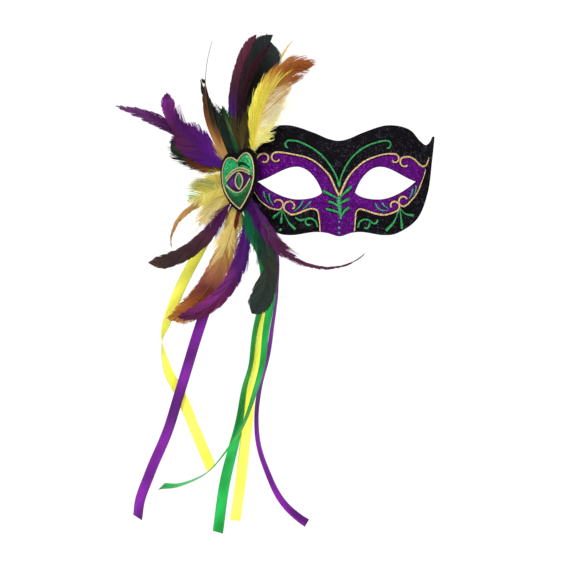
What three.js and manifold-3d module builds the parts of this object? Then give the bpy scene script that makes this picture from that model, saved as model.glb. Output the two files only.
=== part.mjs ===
// Half mask for carnival with a heart badge, a spray of feathers and six ribbon tails.
// Millimetres. +Z is up, -Y faces the viewer, +X is to the viewer's right.
// The origin is on the inner face of the shell at the bridge of the nose.
import * as THREE from "three";
import { mergeVertices } from "three/addons/utils/BufferGeometryUtils.js";
import Module from "manifold-3d";

const wasm = await Module();
wasm.setup();

// Sizes that set the part
const WALL = 2.0; // shell wall
const SLIP = 0.3; // clearance between neighbouring pieces
const WRAP_R = 118; // radius that the shell bends round the head
const BOW_R = 260; // radius of its gentle bow from top to bottom
const BOW_LEVEL = 8; // height where that bow stands furthest forward
const GRID_REACH = 100; // half width of the wall before it is cut to outline
const GRID_LOW = -56;
const GRID_HIGH = 68;
const GRID_COLUMNS = 30;
const GRID_ROWS = 13;
const GRID_EVEN = 0.55; // share of even spacing in the columns, the rest draws them to the middle
const CUT_DEPTH = 2 * WRAP_R; // length of the prisms that trim the wall
const CUT_BACK = 1.2 * WRAP_R; // where they end behind the face
const HUB_X = -79;
const HUB_Z = 8;
const HUB_R = 6.5;
const HUB_HEIGHT = 10.4;
const HUB_SIDES = 20;
const QUILL = 1.2; // thickness of a feather's stem
const LAYER_PITCH = 1.65; // step between feather layers along the hub
const LAYER_MARGIN = 0.4; // bare end of the hub in front of the first layer
const RIBBON_WIDTH = 9.8;
const RIBBON_THICK = 0.8;
const RIBBON_PINCH = 2.8; // gathered width at the hub
const RIBBON_SPREAD = 0.2; // share of the length that it takes to open out
const HEART_TILT = 12; // degrees, right lobe up
const HEART_SHIFT = -4.5; // badge centre from the hub, along the badge's width
const HEART_LEAN = 0.14; // sideways for each step up the heart
const PANEL_SHIFT = 1.3; // how far the gold cord and panel sit off the heart's middle

// Small helpers
const clamp01 = (t) => Math.min(1, Math.max(0, t));
const smooth = (t) => clamp01(t) ** 2 * (3 - 2 * clamp01(t));
const radians = (degrees) => (degrees * Math.PI) / 180;
const bump = (t) => Math.exp(-t * t);
const vector = (x, y, z) => new THREE.Vector3(x, y, z);

// Bumps that the face form adds to the wrapped wall: centre, spread and height
const FACE_BUMPS = [
  { x: 38, z: 24, wide: 24, tall: 11, rise: 3.0 },
  { x: 45, z: -30, wide: 20, tall: 12, rise: 3.5 },
];
const NOSE = { top: 30, run: 75, rise: 17, narrow: 9, wide: 16 };

function faceDepth(x, z) {
  const wrap = WRAP_R - Math.sqrt(WRAP_R ** 2 - x * x);
  const bow = (z - BOW_LEVEL) ** 2 / (2 * BOW_R);
  const down = smooth((NOSE.top - z) / NOSE.run);
  const nose = NOSE.rise * down * bump(x / (NOSE.narrow + (NOSE.wide - NOSE.narrow) * down));
  let raised = 0;
  for (const b of FACE_BUMPS) {
    raised += b.rise * bump((Math.abs(x) - b.x) / b.wide) * bump((z - b.z) / b.tall);
  }
  return wrap + bow - nose - raised;
}

const BRIDGE = faceDepth(0, 0);
const frontDepth = (x, z) => faceDepth(x, z) - BRIDGE - WALL;

function frontNormal(x, z) {
  const step = 0.05;
  const alongX = (faceDepth(x + step, z) - faceDepth(x - step, z)) / (2 * step);
  const alongZ = (faceDepth(x, z + step) - faceDepth(x, z - step)) / (2 * step);
  return vector(alongX, -1, alongZ).normalize();
}

const frontPoint = (x, z, lift) =>
  vector(x, frontDepth(x, z), z).addScaledVector(frontNormal(x, z), lift);

// Geometry builders
// Faces are turned over together when they enclose a negative volume, so every body faces outwards
function indexed(points, faces) {
  let volume = 0;
  for (const [a, b, c] of faces) volume += points[a].dot(points[b].clone().cross(points[c]));
  if (volume < 0) faces.forEach((face) => face.reverse());
  const geometry = new THREE.BufferGeometry();
  const flat = points.flatMap((p) => [p.x, p.y, p.z]);
  geometry.setAttribute("position", new THREE.Float32BufferAttribute(flat, 3));
  geometry.setIndex(faces.flat());
  return geometry;
}

// A solid swept through rings of equal point count, capped unless the sweep closes on itself
function loft(rings, closed = false, band = false) {
  const points = rings.flat();
  const count = rings[0].length;
  const faces = [];
  const last = closed ? rings.length : rings.length - 1;
  for (let i = 0; i < last; i++) {
    const here = i * count;
    const next = ((i + 1) % rings.length) * count;
    for (let j = 0; j < count; j++) {
      const k = (j + 1) % count;
      // A band's two sides are cut along the same diagonal, so that they stay apart where it twists
      if (band && j >= count / 2) {
        faces.push([here + j, here + k, next + j], [here + k, next + k, next + j]);
      } else {
        faces.push([here + j, here + k, next + k], [here + j, next + k, next + j]);
      }
    }
  }
  if (!closed) {
    const end = (rings.length - 1) * count;
    for (let j = 1; j < count - 1; j++) {
      faces.push([0, j + 1, j], [end, end + j, end + j + 1]);
    }
  }
  return indexed(points, faces);
}

// A flat outline pushed up to a height, with its edge rounded over
function plate(points, low, high, round) {
  const options = { depth: high - low - 2 * round, bevelEnabled: round > 0 };
  options.bevelThickness = round;
  options.bevelSize = round;
  options.bevelOffset = -round;
  options.bevelSegments = 1;
  const geometry = new THREE.ExtrudeGeometry(new THREE.Shape(points), options);
  return geometry.translate(0, 0, low + round);
}

function solid(geometry) {
  const plain = new THREE.BufferGeometry();
  plain.setAttribute("position", geometry.getAttribute("position").clone());
  if (geometry.index) plain.setIndex(geometry.index.clone());
  const merged = mergeVertices(plain, 1e-4);
  return new wasm.Manifold(
    new wasm.Mesh({
      numProp: 3,
      vertProperties: new Float32Array(merged.getAttribute("position").array),
      triVerts: new Uint32Array(merged.index.array),
    }),
  );
}

function fromSolid(body) {
  const mesh = body.getMesh();
  const geometry = new THREE.BufferGeometry();
  const positions = new Float32Array(mesh.numVert * 3);
  for (let i = 0; i < mesh.numVert; i++) {
    for (let j = 0; j < 3; j++) positions[3 * i + j] = mesh.vertProperties[i * mesh.numProp + j];
  }
  geometry.setAttribute("position", new THREE.BufferAttribute(positions, 3));
  geometry.setIndex(new THREE.BufferAttribute(new Uint32Array(mesh.triVerts), 1));
  return geometry;
}

const part = new THREE.Group();
const LOOKS = {
  black_glitter: { color: 0x16131a, roughness: 0.55 },
  violet_glitter: { color: 0x5c1090, roughness: 0.6 },
  gold_glitter: { color: 0xd8b070, roughness: 0.4, metalness: 0.6 },
  green_glitter: { color: 0x239a52, roughness: 0.5 },
  felt: { color: 0x18161a, roughness: 0.95 },
  purple_plume: { color: 0x4c1080, roughness: 0.7 },
  burgundy_plume: { color: 0x5a1c38, roughness: 0.7 },
  ink_plume: { color: 0x1d2420, roughness: 0.6 },
  olive_plume: { color: 0x3c4a1e, roughness: 0.7 },
  yellow_plume: { color: 0xefe05e, roughness: 0.75 },
  orange_plume: { color: 0xb5651d, roughness: 0.7 },
  tan_plume: { color: 0xc8923f, roughness: 0.7 },
  yellow_satin: { color: 0xf6f04e, roughness: 0.45 },
  purple_satin: { color: 0x7a1f9a, roughness: 0.45 },
  green_satin: { color: 0x22b24c, roughness: 0.45 },
};

function add(parent, name, look, geometry) {
  const material = new THREE.MeshStandardMaterial(LOOKS[look]);
  material.name = look;
  const mesh = new THREE.Mesh(geometry, material);
  mesh.name = name;
  parent.add(mesh);
  return mesh;
}

// Mask shell: half outline from the top dip to the horn, then down to the nose tip
const TOP_LINE = [
  [0, 43.8], [10, 45.6], [22, 51], [47, 58.6], [68, 54.6], [78, 44.4], [84, 40.8], [89.5, 43.4], [93, 50.2],
];
const LOW_LINE = [
  [93, 50.2], [90, 26], [85.6, -3.5], [75, -28.2], [55, -41.7], [43, -43.4], [21.5, -40.5], [12, -41.3],
  [0, -44.6],
];

function smoothLine(knots, count) {
  const curve = new THREE.SplineCurve(knots.map(([x, z]) => new THREE.Vector2(x, z)));
  return curve.getPoints(count);
}

const TOP_STEPS = 22;
const LOW_STEPS = 24;
const EYE_HOLE_STEPS = 8; // for each of its four curves

function maskOutline() {
  const half = [...smoothLine(TOP_LINE, TOP_STEPS), ...smoothLine(LOW_LINE, LOW_STEPS).slice(1)];
  const other = half.slice(1, -1).map((p) => new THREE.Vector2(-p.x, p.y));
  return [...half, ...other.reverse()];
}

function eyeOutline() {
  const eye = new THREE.Path();
  eye.moveTo(15.5, -4);
  eye.bezierCurveTo(19, 8, 28, 19.7, 39, 19.7);
  eye.bezierCurveTo(50, 19.7, 62, 10, 74, 6.6);
  eye.bezierCurveTo(64, -2, 50, -10.3, 37, -10.3);
  eye.bezierCurveTo(28, -10.3, 19, -8.5, 15.5, -4);
  return eye.getPoints(EYE_HOLE_STEPS).slice(0, -1);
}

function prism(points) {
  const options = { depth: CUT_DEPTH, bevelEnabled: false };
  const geometry = new THREE.ExtrudeGeometry(new THREE.Shape(points), options);
  return solid(geometry.rotateX(Math.PI / 2).translate(0, CUT_BACK, 0));
}

function wallGrid() {
  const points = [];
  const faces = [];
  const across = GRID_COLUMNS + 1;
  const layer = across * (GRID_ROWS + 1);
  for (const lift of [0, -WALL]) {
    for (let j = 0; j <= GRID_ROWS; j++) {
      const z = GRID_LOW + ((GRID_HIGH - GRID_LOW) * j) / GRID_ROWS;
      for (let i = 0; i <= GRID_COLUMNS; i++) {
        const u = (2 * i) / GRID_COLUMNS - 1;
        const x = GRID_REACH * (GRID_EVEN * u + (1 - GRID_EVEN) * u ** 3);
        points.push(frontPoint(x, z, lift));
      }
    }
  }
  const quad = (a, b, c, d) => faces.push([a, b, c], [a, c, d]);
  for (let j = 0; j < GRID_ROWS; j++) {
    for (let i = 0; i < GRID_COLUMNS; i++) {
      const a = j * across + i;
      quad(a, a + 1, a + across + 1, a + across);
      quad(layer + a, layer + a + across, layer + a + across + 1, layer + a + 1);
    }
    const left = j * across;
    const right = left + GRID_COLUMNS;
    quad(left, left + across, layer + left + across, layer + left);
    quad(right, layer + right, layer + right + across, right + across);
  }
  for (let i = 0; i < GRID_COLUMNS; i++) {
    const top = GRID_ROWS * across + i;
    quad(i, layer + i, layer + i + 1, i + 1);
    quad(top, top + 1, layer + top + 1, layer + top);
  }
  return indexed(points, faces);
}

const rightEye = eyeOutline();
const leftEye = rightEye.map((p) => new THREE.Vector2(-p.x, p.y)).reverse();
const shell = solid(wallGrid())
  .intersect(prism(maskOutline()))
  .subtract(prism(rightEye))
  .subtract(prism(leftEye));
add(part, "mask_shell", "black_glitter", fromSolid(shell));

// Raised lines on the shell. A line runs through its knots (x, z), and its hook is a spiral about a centre.
const HOOK_STEPS = 6;
const GOLD_BEAD = { width: 2.2, height: 1.3 };
const GREEN_BEAD = { width: 2.0, height: 1.2 };
const BEAD_LIFT = SLIP + 0.08; // clears the facets of the shell as well
const BEAD_TIP = 0.55; // share of the section that is left at both ends
const BEAD_MIN_STEPS = 4;
const BEAD_SECTION = [[-0.5, 0], [0.5, 0], [0.34, 0.8], [0, 1], [-0.34, 0.8]]; // shares of width and height

function hookPoints(hook) {
  const points = [];
  for (let i = 1; i <= HOOK_STEPS; i++) {
    const t = i / HOOK_STEPS;
    const angle = radians(hook.from + hook.sweep * t);
    const radius = hook.start + (hook.end - hook.start) * t;
    points.push([hook.x + radius * Math.cos(angle), hook.z + radius * Math.sin(angle)]);
  }
  return points;
}

function bead(line, side, { width, height }) {
  const knots = [...line.knots, ...(line.hook ? hookPoints(line.hook) : [])];
  const curve = new THREE.SplineCurve(knots.map(([x, z]) => new THREE.Vector2(side * x, z)));
  const steps = Math.max(BEAD_MIN_STEPS, Math.round(curve.getLength() / line.step));
  const rings = [];
  for (let i = 0; i <= steps; i++) {
    const spot = curve.getPointAt(i / steps);
    const along = curve.getTangentAt(i / steps);
    const normal = frontNormal(spot.x, spot.y);
    const base = frontPoint(spot.x, spot.y, BEAD_LIFT);
    const heading = vector(along.x, 0, along.y);
    heading.addScaledVector(normal, -heading.dot(normal)).normalize();
    const sideways = heading.clone().cross(normal);
    const taper = i === 0 || i === steps ? BEAD_TIP : 1;
    const ring = [];
    for (const [a, h] of BEAD_SECTION) {
      const point = base.clone().addScaledVector(sideways, a * width * taper);
      ring.push(point.addScaledVector(normal, h * height * taper));
    }
    rings.push(ring);
  }
  return loft(rings);
}

const GOLD_RIGHT = [
  {
    name: "gold_brow", step: 4.2,
    knots: [
      [1.5, -7.2], [3.5, -0.4], [7.5, 8.2], [14.5, 17], [24, 24.7], [34.8, 29.3], [44.5, 31.6],
      [52.2, 31.7],
    ],
    hook: { x: 52.6, z: 27.4, from: 95, sweep: -238, start: 4.3, end: 2.6 },
  },
  {
    name: "gold_horn", step: 3.4,
    knots: [
      [86.2, 29.6], [85, 25], [82.6, 21.5], [79.4, 20.9], [76.2, 22.9], [71.4, 27.2], [66.3, 29.4],
      [62.8, 29],
    ],
    hook: { x: 61.9, z: 24.5, from: 80, sweep: 236, start: 4.5, end: 4.0 },
  },
  {
    name: "gold_side", step: 4.2,
    knots: [
      [83, 17.8], [81.2, 12.1], [78.6, 5.7], [75.6, -1.4], [71.9, -7.1], [68, -12.6], [64, -16.2],
      [59.6, -17],
    ],
    hook: { x: 61.5, z: -11.6, from: -112, sweep: -222, start: 5.6, end: 3.0 },
  },
  {
    name: "gold_cheek", step: 4.2,
    knots: [
      [14.5, -37.5], [15.1, -28.2], [16.2, -21.6], [19, -19.3], [25.3, -20.6], [34.8, -23.6],
      [43, -24.5], [50.3, -22.6],
    ],
    hook: { x: 51.6, z: -16.4, from: -70, sweep: 240, start: 5.2, end: 2.8 },
  },
];
const GOLD_LEFT = [
  {
    name: "gold_brow", step: 4.2,
    knots: [
      [1.5, -7.2], [3.5, -0.4], [8.3, 11.1], [13.1, 16.8], [20.1, 23.2], [29, 28.1], [38.6, 30.5],
      [47.4, 32.3], [55.5, 33.3],
    ],
    hook: { x: 56.6, z: 28.4, from: 92, sweep: -240, start: 4.9, end: 3.1 },
  },
  {
    name: "gold_horn", step: 3.4,
    knots: [[82.5, 21.5], [78.4, 23.2], [74.8, 26.8], [71.4, 31.2]],
    hook: { x: 67.6, z: 27.4, from: 62, sweep: 246, start: 5.0, end: 2.8 },
  },
  {
    name: "gold_side", step: 4.2,
    knots: [[77.2, -2], [74.9, -5.6], [71.5, -10.7], [66.8, -14.9], [61.4, -18.4], [57, -19.5]],
    hook: { x: 55, z: -15, from: -78, sweep: -250, start: 4.6, end: 3.1 },
  },
  {
    name: "gold_cheek", step: 4.2,
    knots: [
      [16.6, -38], [17.9, -28], [19.8, -20.6], [24.3, -18.9], [30.5, -20.5], [37.4, -23.3],
      [43, -24.4], [46.6, -22.4],
    ],
    hook: { x: 44.6, z: -18, from: -62, sweep: 255, start: 4.7, end: 2.6 },
  },
];
const GREEN_RIGHT = [
  {
    name: "green_brow", step: 4.6,
    knots: [
      [1.4, 4.5], [2.4, 10.6], [6.6, 20], [12.4, 28.2], [20.6, 35.4], [30.2, 40.5], [39.5, 43.3],
      [44.6, 44],
    ],
    hook: { x: 45.2, z: 40.2, from: 95, sweep: -185, start: 3.8, end: 3.2 },
  },
  {
    name: "green_curl", step: 3.4,
    knots: [
      [17.4, -36.4], [19.4, -31], [24, -28.8], [28.7, -29.8], [32.8, -32.4], [35.8, -31],
      [36.3, -28.6],
    ],
  },
];
const GREEN_LEFT = [
  {
    name: "green_brow", step: 4.6,
    knots: [[1.4, 4.5], [2.6, 10.6], [6.6, 18.8], [14.8, 29.3], [25.4, 37.5], [38, 43.4], [44, 44.1]],
    hook: { x: 44.8, z: 40.4, from: 92, sweep: -165, start: 3.7, end: 3.4 },
  },
  {
    name: "green_curl", step: 3.4,
    knots: [[19.2, -36], [21, -30.5], [26, -27.8], [31, -28.8], [35.8, -29.3], [39.8, -26.6]],
  },
];
const SIDES = [
  { side: 1, tag: "right", gold: GOLD_RIGHT, green: GREEN_RIGHT },
  { side: -1, tag: "left", gold: GOLD_LEFT, green: GREEN_LEFT },
];
for (const { side, tag, gold, green } of SIDES) {
  for (const line of gold) add(part, `${line.name}_${tag}`, "gold_glitter", bead(line, side, GOLD_BEAD));
  for (const line of green) add(part, `${line.name}_${tag}`, "green_glitter", bead(line, side, GREEN_BEAD));
}

// Green strokes that meet: a fern on the nose, and three rays on each cheek
const FERN_WIDTH = 2.4;
const RAY_WIDTH = 1.9;
const STROKE_STEP = 5;
const FERN_SAG = 1; // dip of a fern leaf at its middle
const STEM = [[0.4, -10], [0.7, -18], [1.2, -28.5]];
const FERN = [
  { from: [0.5, -11], to: [-15, -1.8] },
  { from: [0.6, -9.5], to: [12, 1.4] },
  { from: [0.6, -16.6], to: [-10.4, -12.2] },
  { from: [0.7, -15.6], to: [10.4, -9.4] },
  { from: [0.9, -22.6], to: [-12.4, -18.8] },
  { from: [0.9, -23.2], to: [10.4, -17.6] },
];
const RAYS = {
  right: {
    root: [57.9, -18.6],
    strokes: [[[53.6, -29], [44.4, -38.8]], [[59.3, -27.5], [60.9, -37.2]], [[64, -22.6], [73, -23.8]]],
  },
  left: {
    root: [51.2, -21.4],
    strokes: [[[46.6, -31], [38.5, -38]], [[51.8, -28.6], [52.6, -38.6]], [[54.6, -23.6], [59.8, -27.7]]],
  },
};

function fused(strokes, side, width) {
  const size = { ...GREEN_BEAD, width };
  const bodies = strokes.map((knots) => solid(bead({ knots, step: STROKE_STEP }, side, size)));
  return fromSolid(wasm.Manifold.union(bodies));
}

const fernStrokes = FERN.map((leaf) => {
  const bend = [(leaf.from[0] + leaf.to[0]) / 2, (leaf.from[1] + leaf.to[1]) / 2 - FERN_SAG];
  return [leaf.from, bend, leaf.to];
});
add(part, "green_fern", "green_glitter", fused([STEM, ...fernStrokes], 1, FERN_WIDTH));
for (const { side, tag } of SIDES) {
  const strokes = RAYS[tag].strokes.map((knots) => [RAYS[tag].root, ...knots]);
  add(part, `green_rays_${tag}`, "green_glitter", fused(strokes, side, RAY_WIDTH));
}

// The hub stands on the shell, and the badge lies square on its axis
const axis = frontNormal(HUB_X, HUB_Z);
const across = vector(0, 0, 1).cross(axis).normalize();
const upward = axis.clone().cross(across);
const foot = frontPoint(HUB_X, HUB_Z, SLIP);
const slope = across.y / across.x;
const onHub = (u, v, w) =>
  foot.clone().addScaledVector(across, u).addScaledVector(upward, v).addScaledVector(axis, w);

function disc(radius, height) {
  const ring = [];
  for (let i = 0; i < HUB_SIDES; i++) {
    const angle = (2 * Math.PI * i) / HUB_SIDES;
    ring.push([radius * Math.cos(angle), radius * Math.sin(angle)]);
  }
  return [0, height].map((w) => ring.map(([u, v]) => onHub(u, v, w)));
}

add(part, "feather_hub", "felt", loft(disc(HUB_R, HUB_HEIGHT)));

// Heart badge, built flat in its own frame: x across, y up, z out of the face
const badge = new THREE.Group();
badge.name = "badge";
badge.position.copy(onHub(HEART_SHIFT, 0, HUB_HEIGHT + SLIP));
badge.quaternion.setFromRotationMatrix(new THREE.Matrix4().makeBasis(across, upward, axis));
badge.rotateZ(radians(HEART_TILT));
part.add(badge);

// Right half outlines of the heart, from notch to tip: its edge, and the gold cord inside it
const OUTER_HEART = [
  [0, 24.1], [4, 26.3], [9, 27.2], [14.5, 25.8], [19, 21.5], [21.8, 14], [22.2, 6], [21.2, -2],
  [18, -10.5], [13, -18.5], [7, -25], [0, -30.6],
];
const INNER_HEART = [
  [0, 16.8], [4.2, 20.2], [8, 21.9], [12, 22], [16.2, 18.8], [18.8, 13], [19.6, 6], [18.6, -2.5],
  [15.2, -10.5], [10.5, -17], [5, -22.6], [0, -26.8],
];

// A spot on the badge, which leans to one side
const onHeart = (x, y) => new THREE.Vector2(x + HEART_LEAN * y, y);

// Both halves of a heart, with its notch and tip as single points
function heartPoints(half, shift, count) {
  const line = new THREE.SplineCurve(half.map(([x, y]) => new THREE.Vector2(x, y)));
  const right = line.getSpacedPoints(count / 2);
  const left = right.map((p) => new THREE.Vector2(-p.x, p.y));
  return [...left, ...right.slice(1, -1).reverse()].map((p) => onHeart(p.x + shift, p.y));
}

// The same outline moved inwards by a distance, with sharp corners held back
const CORNER_LIMIT = 0.6;

function inset(points, distance) {
  return points.map((p, i) => {
    const before = points[(i + points.length - 1) % points.length];
    const after = points[(i + 1) % points.length];
    const first = new THREE.Vector2(before.y - p.y, p.x - before.x).normalize();
    const second = new THREE.Vector2(p.y - after.y, after.x - p.x).normalize();
    const middle = first.clone().add(second).normalize();
    return p.clone().addScaledVector(middle, distance / Math.max(CORNER_LIMIT, middle.dot(first)));
  });
}

// An almond between two corners, its upper and lower edges arcs of their own height
const EYE = { x: 2.2, y: -0.5, half: 15.6, rise: 7.8, drop: 11.2, bow: 0.9 };
const ALMOND_STEPS = 9; // along each edge
const PUPIL = { x: 3, y: -1.6, wide: 3.0, tall: 5.8, high: 0.9, steps: 16 };
const PUPIL_RING = { wide: 4.4, tall: 7.4, steps: 20 };
const LEAF_PINCH = 0.2; // draws the leaf's long sides in towards its middle
const almondBow = (x) => Math.cos((x * Math.PI) / (2 * EYE.half)) ** EYE.bow;
const almondTop = (x) => EYE.rise * almondBow(x);
const almondLow = (x) => -EYE.drop * almondBow(x);
const onEye = (x, y) => onHeart(EYE.x + x, EYE.y + y);

function almond(shrink) {
  const points = [];
  for (let i = 0; i < ALMOND_STEPS; i++) {
    const x = EYE.half * ((2 * i) / ALMOND_STEPS - 1);
    points.push(onEye(x * shrink, almondLow(x) * shrink));
  }
  for (let i = 0; i < ALMOND_STEPS; i++) {
    const x = EYE.half * (1 - (2 * i) / ALMOND_STEPS);
    points.push(onEye(x * shrink, almondTop(x) * shrink));
  }
  return points;
}

function leafPoints({ wide, tall, steps }) {
  const points = [];
  for (let i = 0; i < steps; i++) {
    const t = (2 * Math.PI * i) / steps;
    const x = wide * Math.cos(t) * Math.abs(Math.cos(t)) ** LEAF_PINCH;
    points.push(onHeart(PUPIL.x + x, PUPIL.y + tall * Math.sin(t)));
  }
  return points;
}

function cordAround(points, level, radius, sides) {
  const rings = points.map((p, i) => {
    const before = points[(i + points.length - 1) % points.length];
    const after = points[(i + 1) % points.length];
    const out = new THREE.Vector2(after.y - before.y, before.x - after.x).normalize();
    return ringAt(p, out, level, radius, sides);
  });
  return loft(rings, true);
}

function ringAt(p, out, level, radius, sides) {
  const ring = [];
  for (let k = 0; k < sides; k++) {
    const angle = (2 * Math.PI * k) / sides;
    const reach = radius * Math.cos(angle);
    ring.push(vector(p.x + out.x * reach, p.y + out.y * reach, level + radius * Math.sin(angle)));
  }
  return ring;
}

function cordAlong(points, level, radius, sides) {
  const rings = points.map((p, i) => {
    const before = points[Math.max(0, i - 1)];
    const after = points[Math.min(points.length - 1, i + 1)];
    const out = new THREE.Vector2(after.y - before.y, before.x - after.x).normalize();
    return ringAt(p, out, level, radius, sides);
  });
  return loft(rings);
}

const HEART_STEPS = 38; // round a whole heart
const BACK_TOP = 2.6;
const BACK_ROUND = 0.6;
const PANEL_TOP = 4.8;
const PANEL_ROUND = 0.7;
const PANEL_INSET = 1.5; // from the middle of the gold cord to the panel's edge
const EYE_CUT_TOP = 10; // well above the panel that the eye is cut from
const EYE_SHRINK = 0.955; // keeps the eye clear of that cut
const BORDER_R = 0.9; // gold cord round the heart
const BORDER_SIDES = 5;
const LID_R = 0.8; // gold cord of the eye
const LID_SIDES = 6;
const LID_STEPS = 12;
const LID_STOP = 1; // how far short of the eye's corners the lids end
const LID_RISE = 0.6; // upper lid above the eye's edge
const LID_DROP = 0.2; // lower lid below it
const FOLD_RISE = 2.9;
const FOLD_SPREAD = 1.04; // length of the fold against the lid's
const backing = heartPoints(OUTER_HEART, 0, HEART_STEPS);
const border = heartPoints(INNER_HEART, PANEL_SHIFT, HEART_STEPS);
add(badge, "heart_backing", "felt", plate(backing, 0, BACK_TOP, BACK_ROUND));
const panelEdge = inset(border, PANEL_INSET);
const panelBody = solid(plate(panelEdge, BACK_TOP + SLIP, PANEL_TOP, PANEL_ROUND));
const eyeCut = solid(plate(almond(1), 0, EYE_CUT_TOP, 0));
add(badge, "heart_panel", "green_glitter", fromSolid(panelBody.subtract(eyeCut)));
const borderLevel = BACK_TOP + SLIP + BORDER_R;
add(badge, "heart_cord", "gold_glitter", cordAround(border, borderLevel, BORDER_R, BORDER_SIDES));
const eyeBody = plate(almond(EYE_SHRINK), BACK_TOP + SLIP, PANEL_TOP - SLIP, 0);
add(badge, "eye_panel", "violet_glitter", eyeBody);
const lidEnd = EYE.half - LID_STOP;
const lidSpan = Array.from({ length: LID_STEPS + 1 }, (_, i) => lidEnd * ((2 * i) / LID_STEPS - 1));
const upperLid = lidSpan.map((x) => onEye(x, almondTop(x) + LID_RISE));
const lowerLid = lidSpan.map((x) => onEye(x, almondLow(x) - LID_DROP));
const lidFold = lidSpan.map((x) => onEye(x * FOLD_SPREAD, almondTop(x) + FOLD_RISE));
const lidLevel = PANEL_TOP + SLIP + LID_R;
add(badge, "upper_lid_cord", "gold_glitter", cordAlong(upperLid, lidLevel, LID_R, LID_SIDES));
add(badge, "lower_lid_cord", "gold_glitter", cordAlong(lowerLid, lidLevel, LID_R, LID_SIDES));
add(badge, "lid_fold_cord", "gold_glitter", cordAlong(lidFold, lidLevel, LID_R, LID_SIDES));
const pupilBody = plate(leafPoints(PUPIL), PANEL_TOP, PANEL_TOP + PUPIL.high, 0);
add(badge, "pupil", "green_glitter", pupilBody);
const pupilRing = cordAround(leafPoints(PUPIL_RING), PANEL_TOP + LID_R, LID_R, LID_SIDES);
add(badge, "pupil_cord", "gold_glitter", pupilRing);

// Feathers. Angles are as seen from the front, 0 to the right and 90 up.
// aim and turn give the heading and how far it swings by the tip, and ease how late it does.
// hold is the straight start, stem the bare length, wide the vane's width, lean the depth slope at the tip.
// A shape's vane is widest at peak, runs to end, and is slimmed to a share of its width past slim.
const NARROWING = 0.2; // share of the vane over which it narrows past slim
const SHAPES = {
  broad: { peak: 0.66, blunt: 5, end: 1, slim: 1, share: 1 },
  round: { peak: 0.5, blunt: 4.5, end: 1, slim: 1, share: 1 },
  coque: { peak: 0.5, blunt: 2.2, end: 1, slim: 1, share: 1 },
  lobed: { peak: 0.5, blunt: 6, end: 1, slim: 0.6, share: 0.62 },
  leaf: { peak: 0.6, blunt: 1.3, end: 1, slim: 1, share: 1 },
  point: { peak: 0.3, blunt: 1.0, end: 1, slim: 1, share: 1 },
  curled: { peak: 0.42, blunt: 5, end: 1, slim: 0.45, share: 0.36 },
  whip: { peak: 0.22, blunt: 1.4, end: 1, slim: 0.3, share: 0.34 },
  stripped: { peak: 0.4, blunt: 1.5, end: 0.68, slim: 1, share: 1 },
};
const FEATHER_COLUMNS = [
  "name", "look", "layer", "aim", "turn", "ease", "hold", "reach", "stem", "wide", "lean", "shape",
];
const FEATHERS = [
  ["purple_broad", "purple_plume", 1, 145, -60, 2.25, 25, 108, 24, 33, -0.15, "curled"],
  ["purple_point", "purple_plume", 2, 140, 26, 1, 25, 136, 26, 14, -0.02, "leaf"],
  ["brown_quill", "orange_plume", 0, 126, -54, 1, 15, 132, 22, 9, -0.2, "stripped"],
  ["ink_up", "ink_plume", 2, 121, -17, 1, 15, 97, 22, 15, 0.15, "point"],
  ["green_up", "ink_plume", 1, 110, -8, 1, 15, 66, 20, 15, -0.05, "coque"],
  ["burgundy_up", "burgundy_plume", 3, 105.5, -45, 1, 15, 134, 20, 13.5, 0.16, "round"],
  ["burgundy_band", "burgundy_plume", 1, 99, -54, 1.3, 15, 128, 20, 7, -0.26, "coque"],
  ["black_broad", "ink_plume", 2, 89, -22, 1, 15, 131, 19, 29, 0.03, "broad"],
  ["yellow_up", "yellow_plume", 0, 76.5, -93, 3.3, 15, 126, 16, 29, -0.4, "lobed"],
  ["beige_thin", "tan_plume", 3, 87, -35.5, 1, 15, 133, 20, 8, 0.22, "point"],
  ["olive_left", "olive_plume", 3, 151, -2, 1, 25, 74, 24, 31, 0.45, "broad"],
  ["yellow_left", "yellow_plume", 2, 198, 6, 1, 25, 52, 14, 34, 0.1, "coque"],
  ["yellow_low", "yellow_plume", 1, 222, 8, 1, 25, 54, 20, 18, 0.11, "coque"],
  ["tan_thin", "tan_plume", 3, 204.7, 77, 2.07, 25, 95, 26, 6, 0.2, "point"],
  ["burgundy_left", "burgundy_plume", 0, 238, -62, 1.7, 22, 118, 24, 15, -0.2, "round"],
  ["yellow_down", "yellow_plume", 3, 252.7, -61, 2.85, 22, 148, 24, 24, 0.0, "round"],
  ["purple_down", "purple_plume", 2, 268.8, -87, 1.66, 22, 152, 26, 13.4, -0.12, "coque"],
  ["green_down", "ink_plume", 1, 286.5, -60, 2, 26, 123, 24, 20, -0.2, "broad"],
  ["purple_sweep", "purple_plume", 0, 289.5, 113, 1.47, 15, 150, 22, 14, -0.1, "whip"],
  ["burgundy_small", "burgundy_plume", 0, 258, 4, 1, 15, 41, 22, 6, 0.0, "coque"],
].map((cells) => Object.fromEntries(FEATHER_COLUMNS.map((column, i) => [column, cells[i]])));
const FEATHER_RINGS = 11;
const SPINE_STEPS = 60;
const BEND_RATE = 2.4; // how soon a stem leaves the badge's plane for its own lean
const FACING_RUN = 60; // length over which a vane turns from the badge's plane to face the viewer
const TIP_THINNING = 0.55; // share of the thickness that is lost by the tip
const VANE_RIM = 0.3; // half thickness of a vane's edge
const RIDGE = 0.25; // share of the half width that the shaft's ridge takes

const seat = (degrees, w, apart) => {
  const heading = vector(0, 0, 0)
    .addScaledVector(across, Math.cos(radians(degrees)) / across.x)
    .addScaledVector(upward, Math.sin(radians(degrees)))
    .normalize();
  return onHub(0, 0, w).addScaledVector(heading, HUB_R + apart);
};
const layerHeight = (layer) => HUB_HEIGHT - LAYER_MARGIN - QUILL / 2 - layer * LAYER_PITCH;

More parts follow.
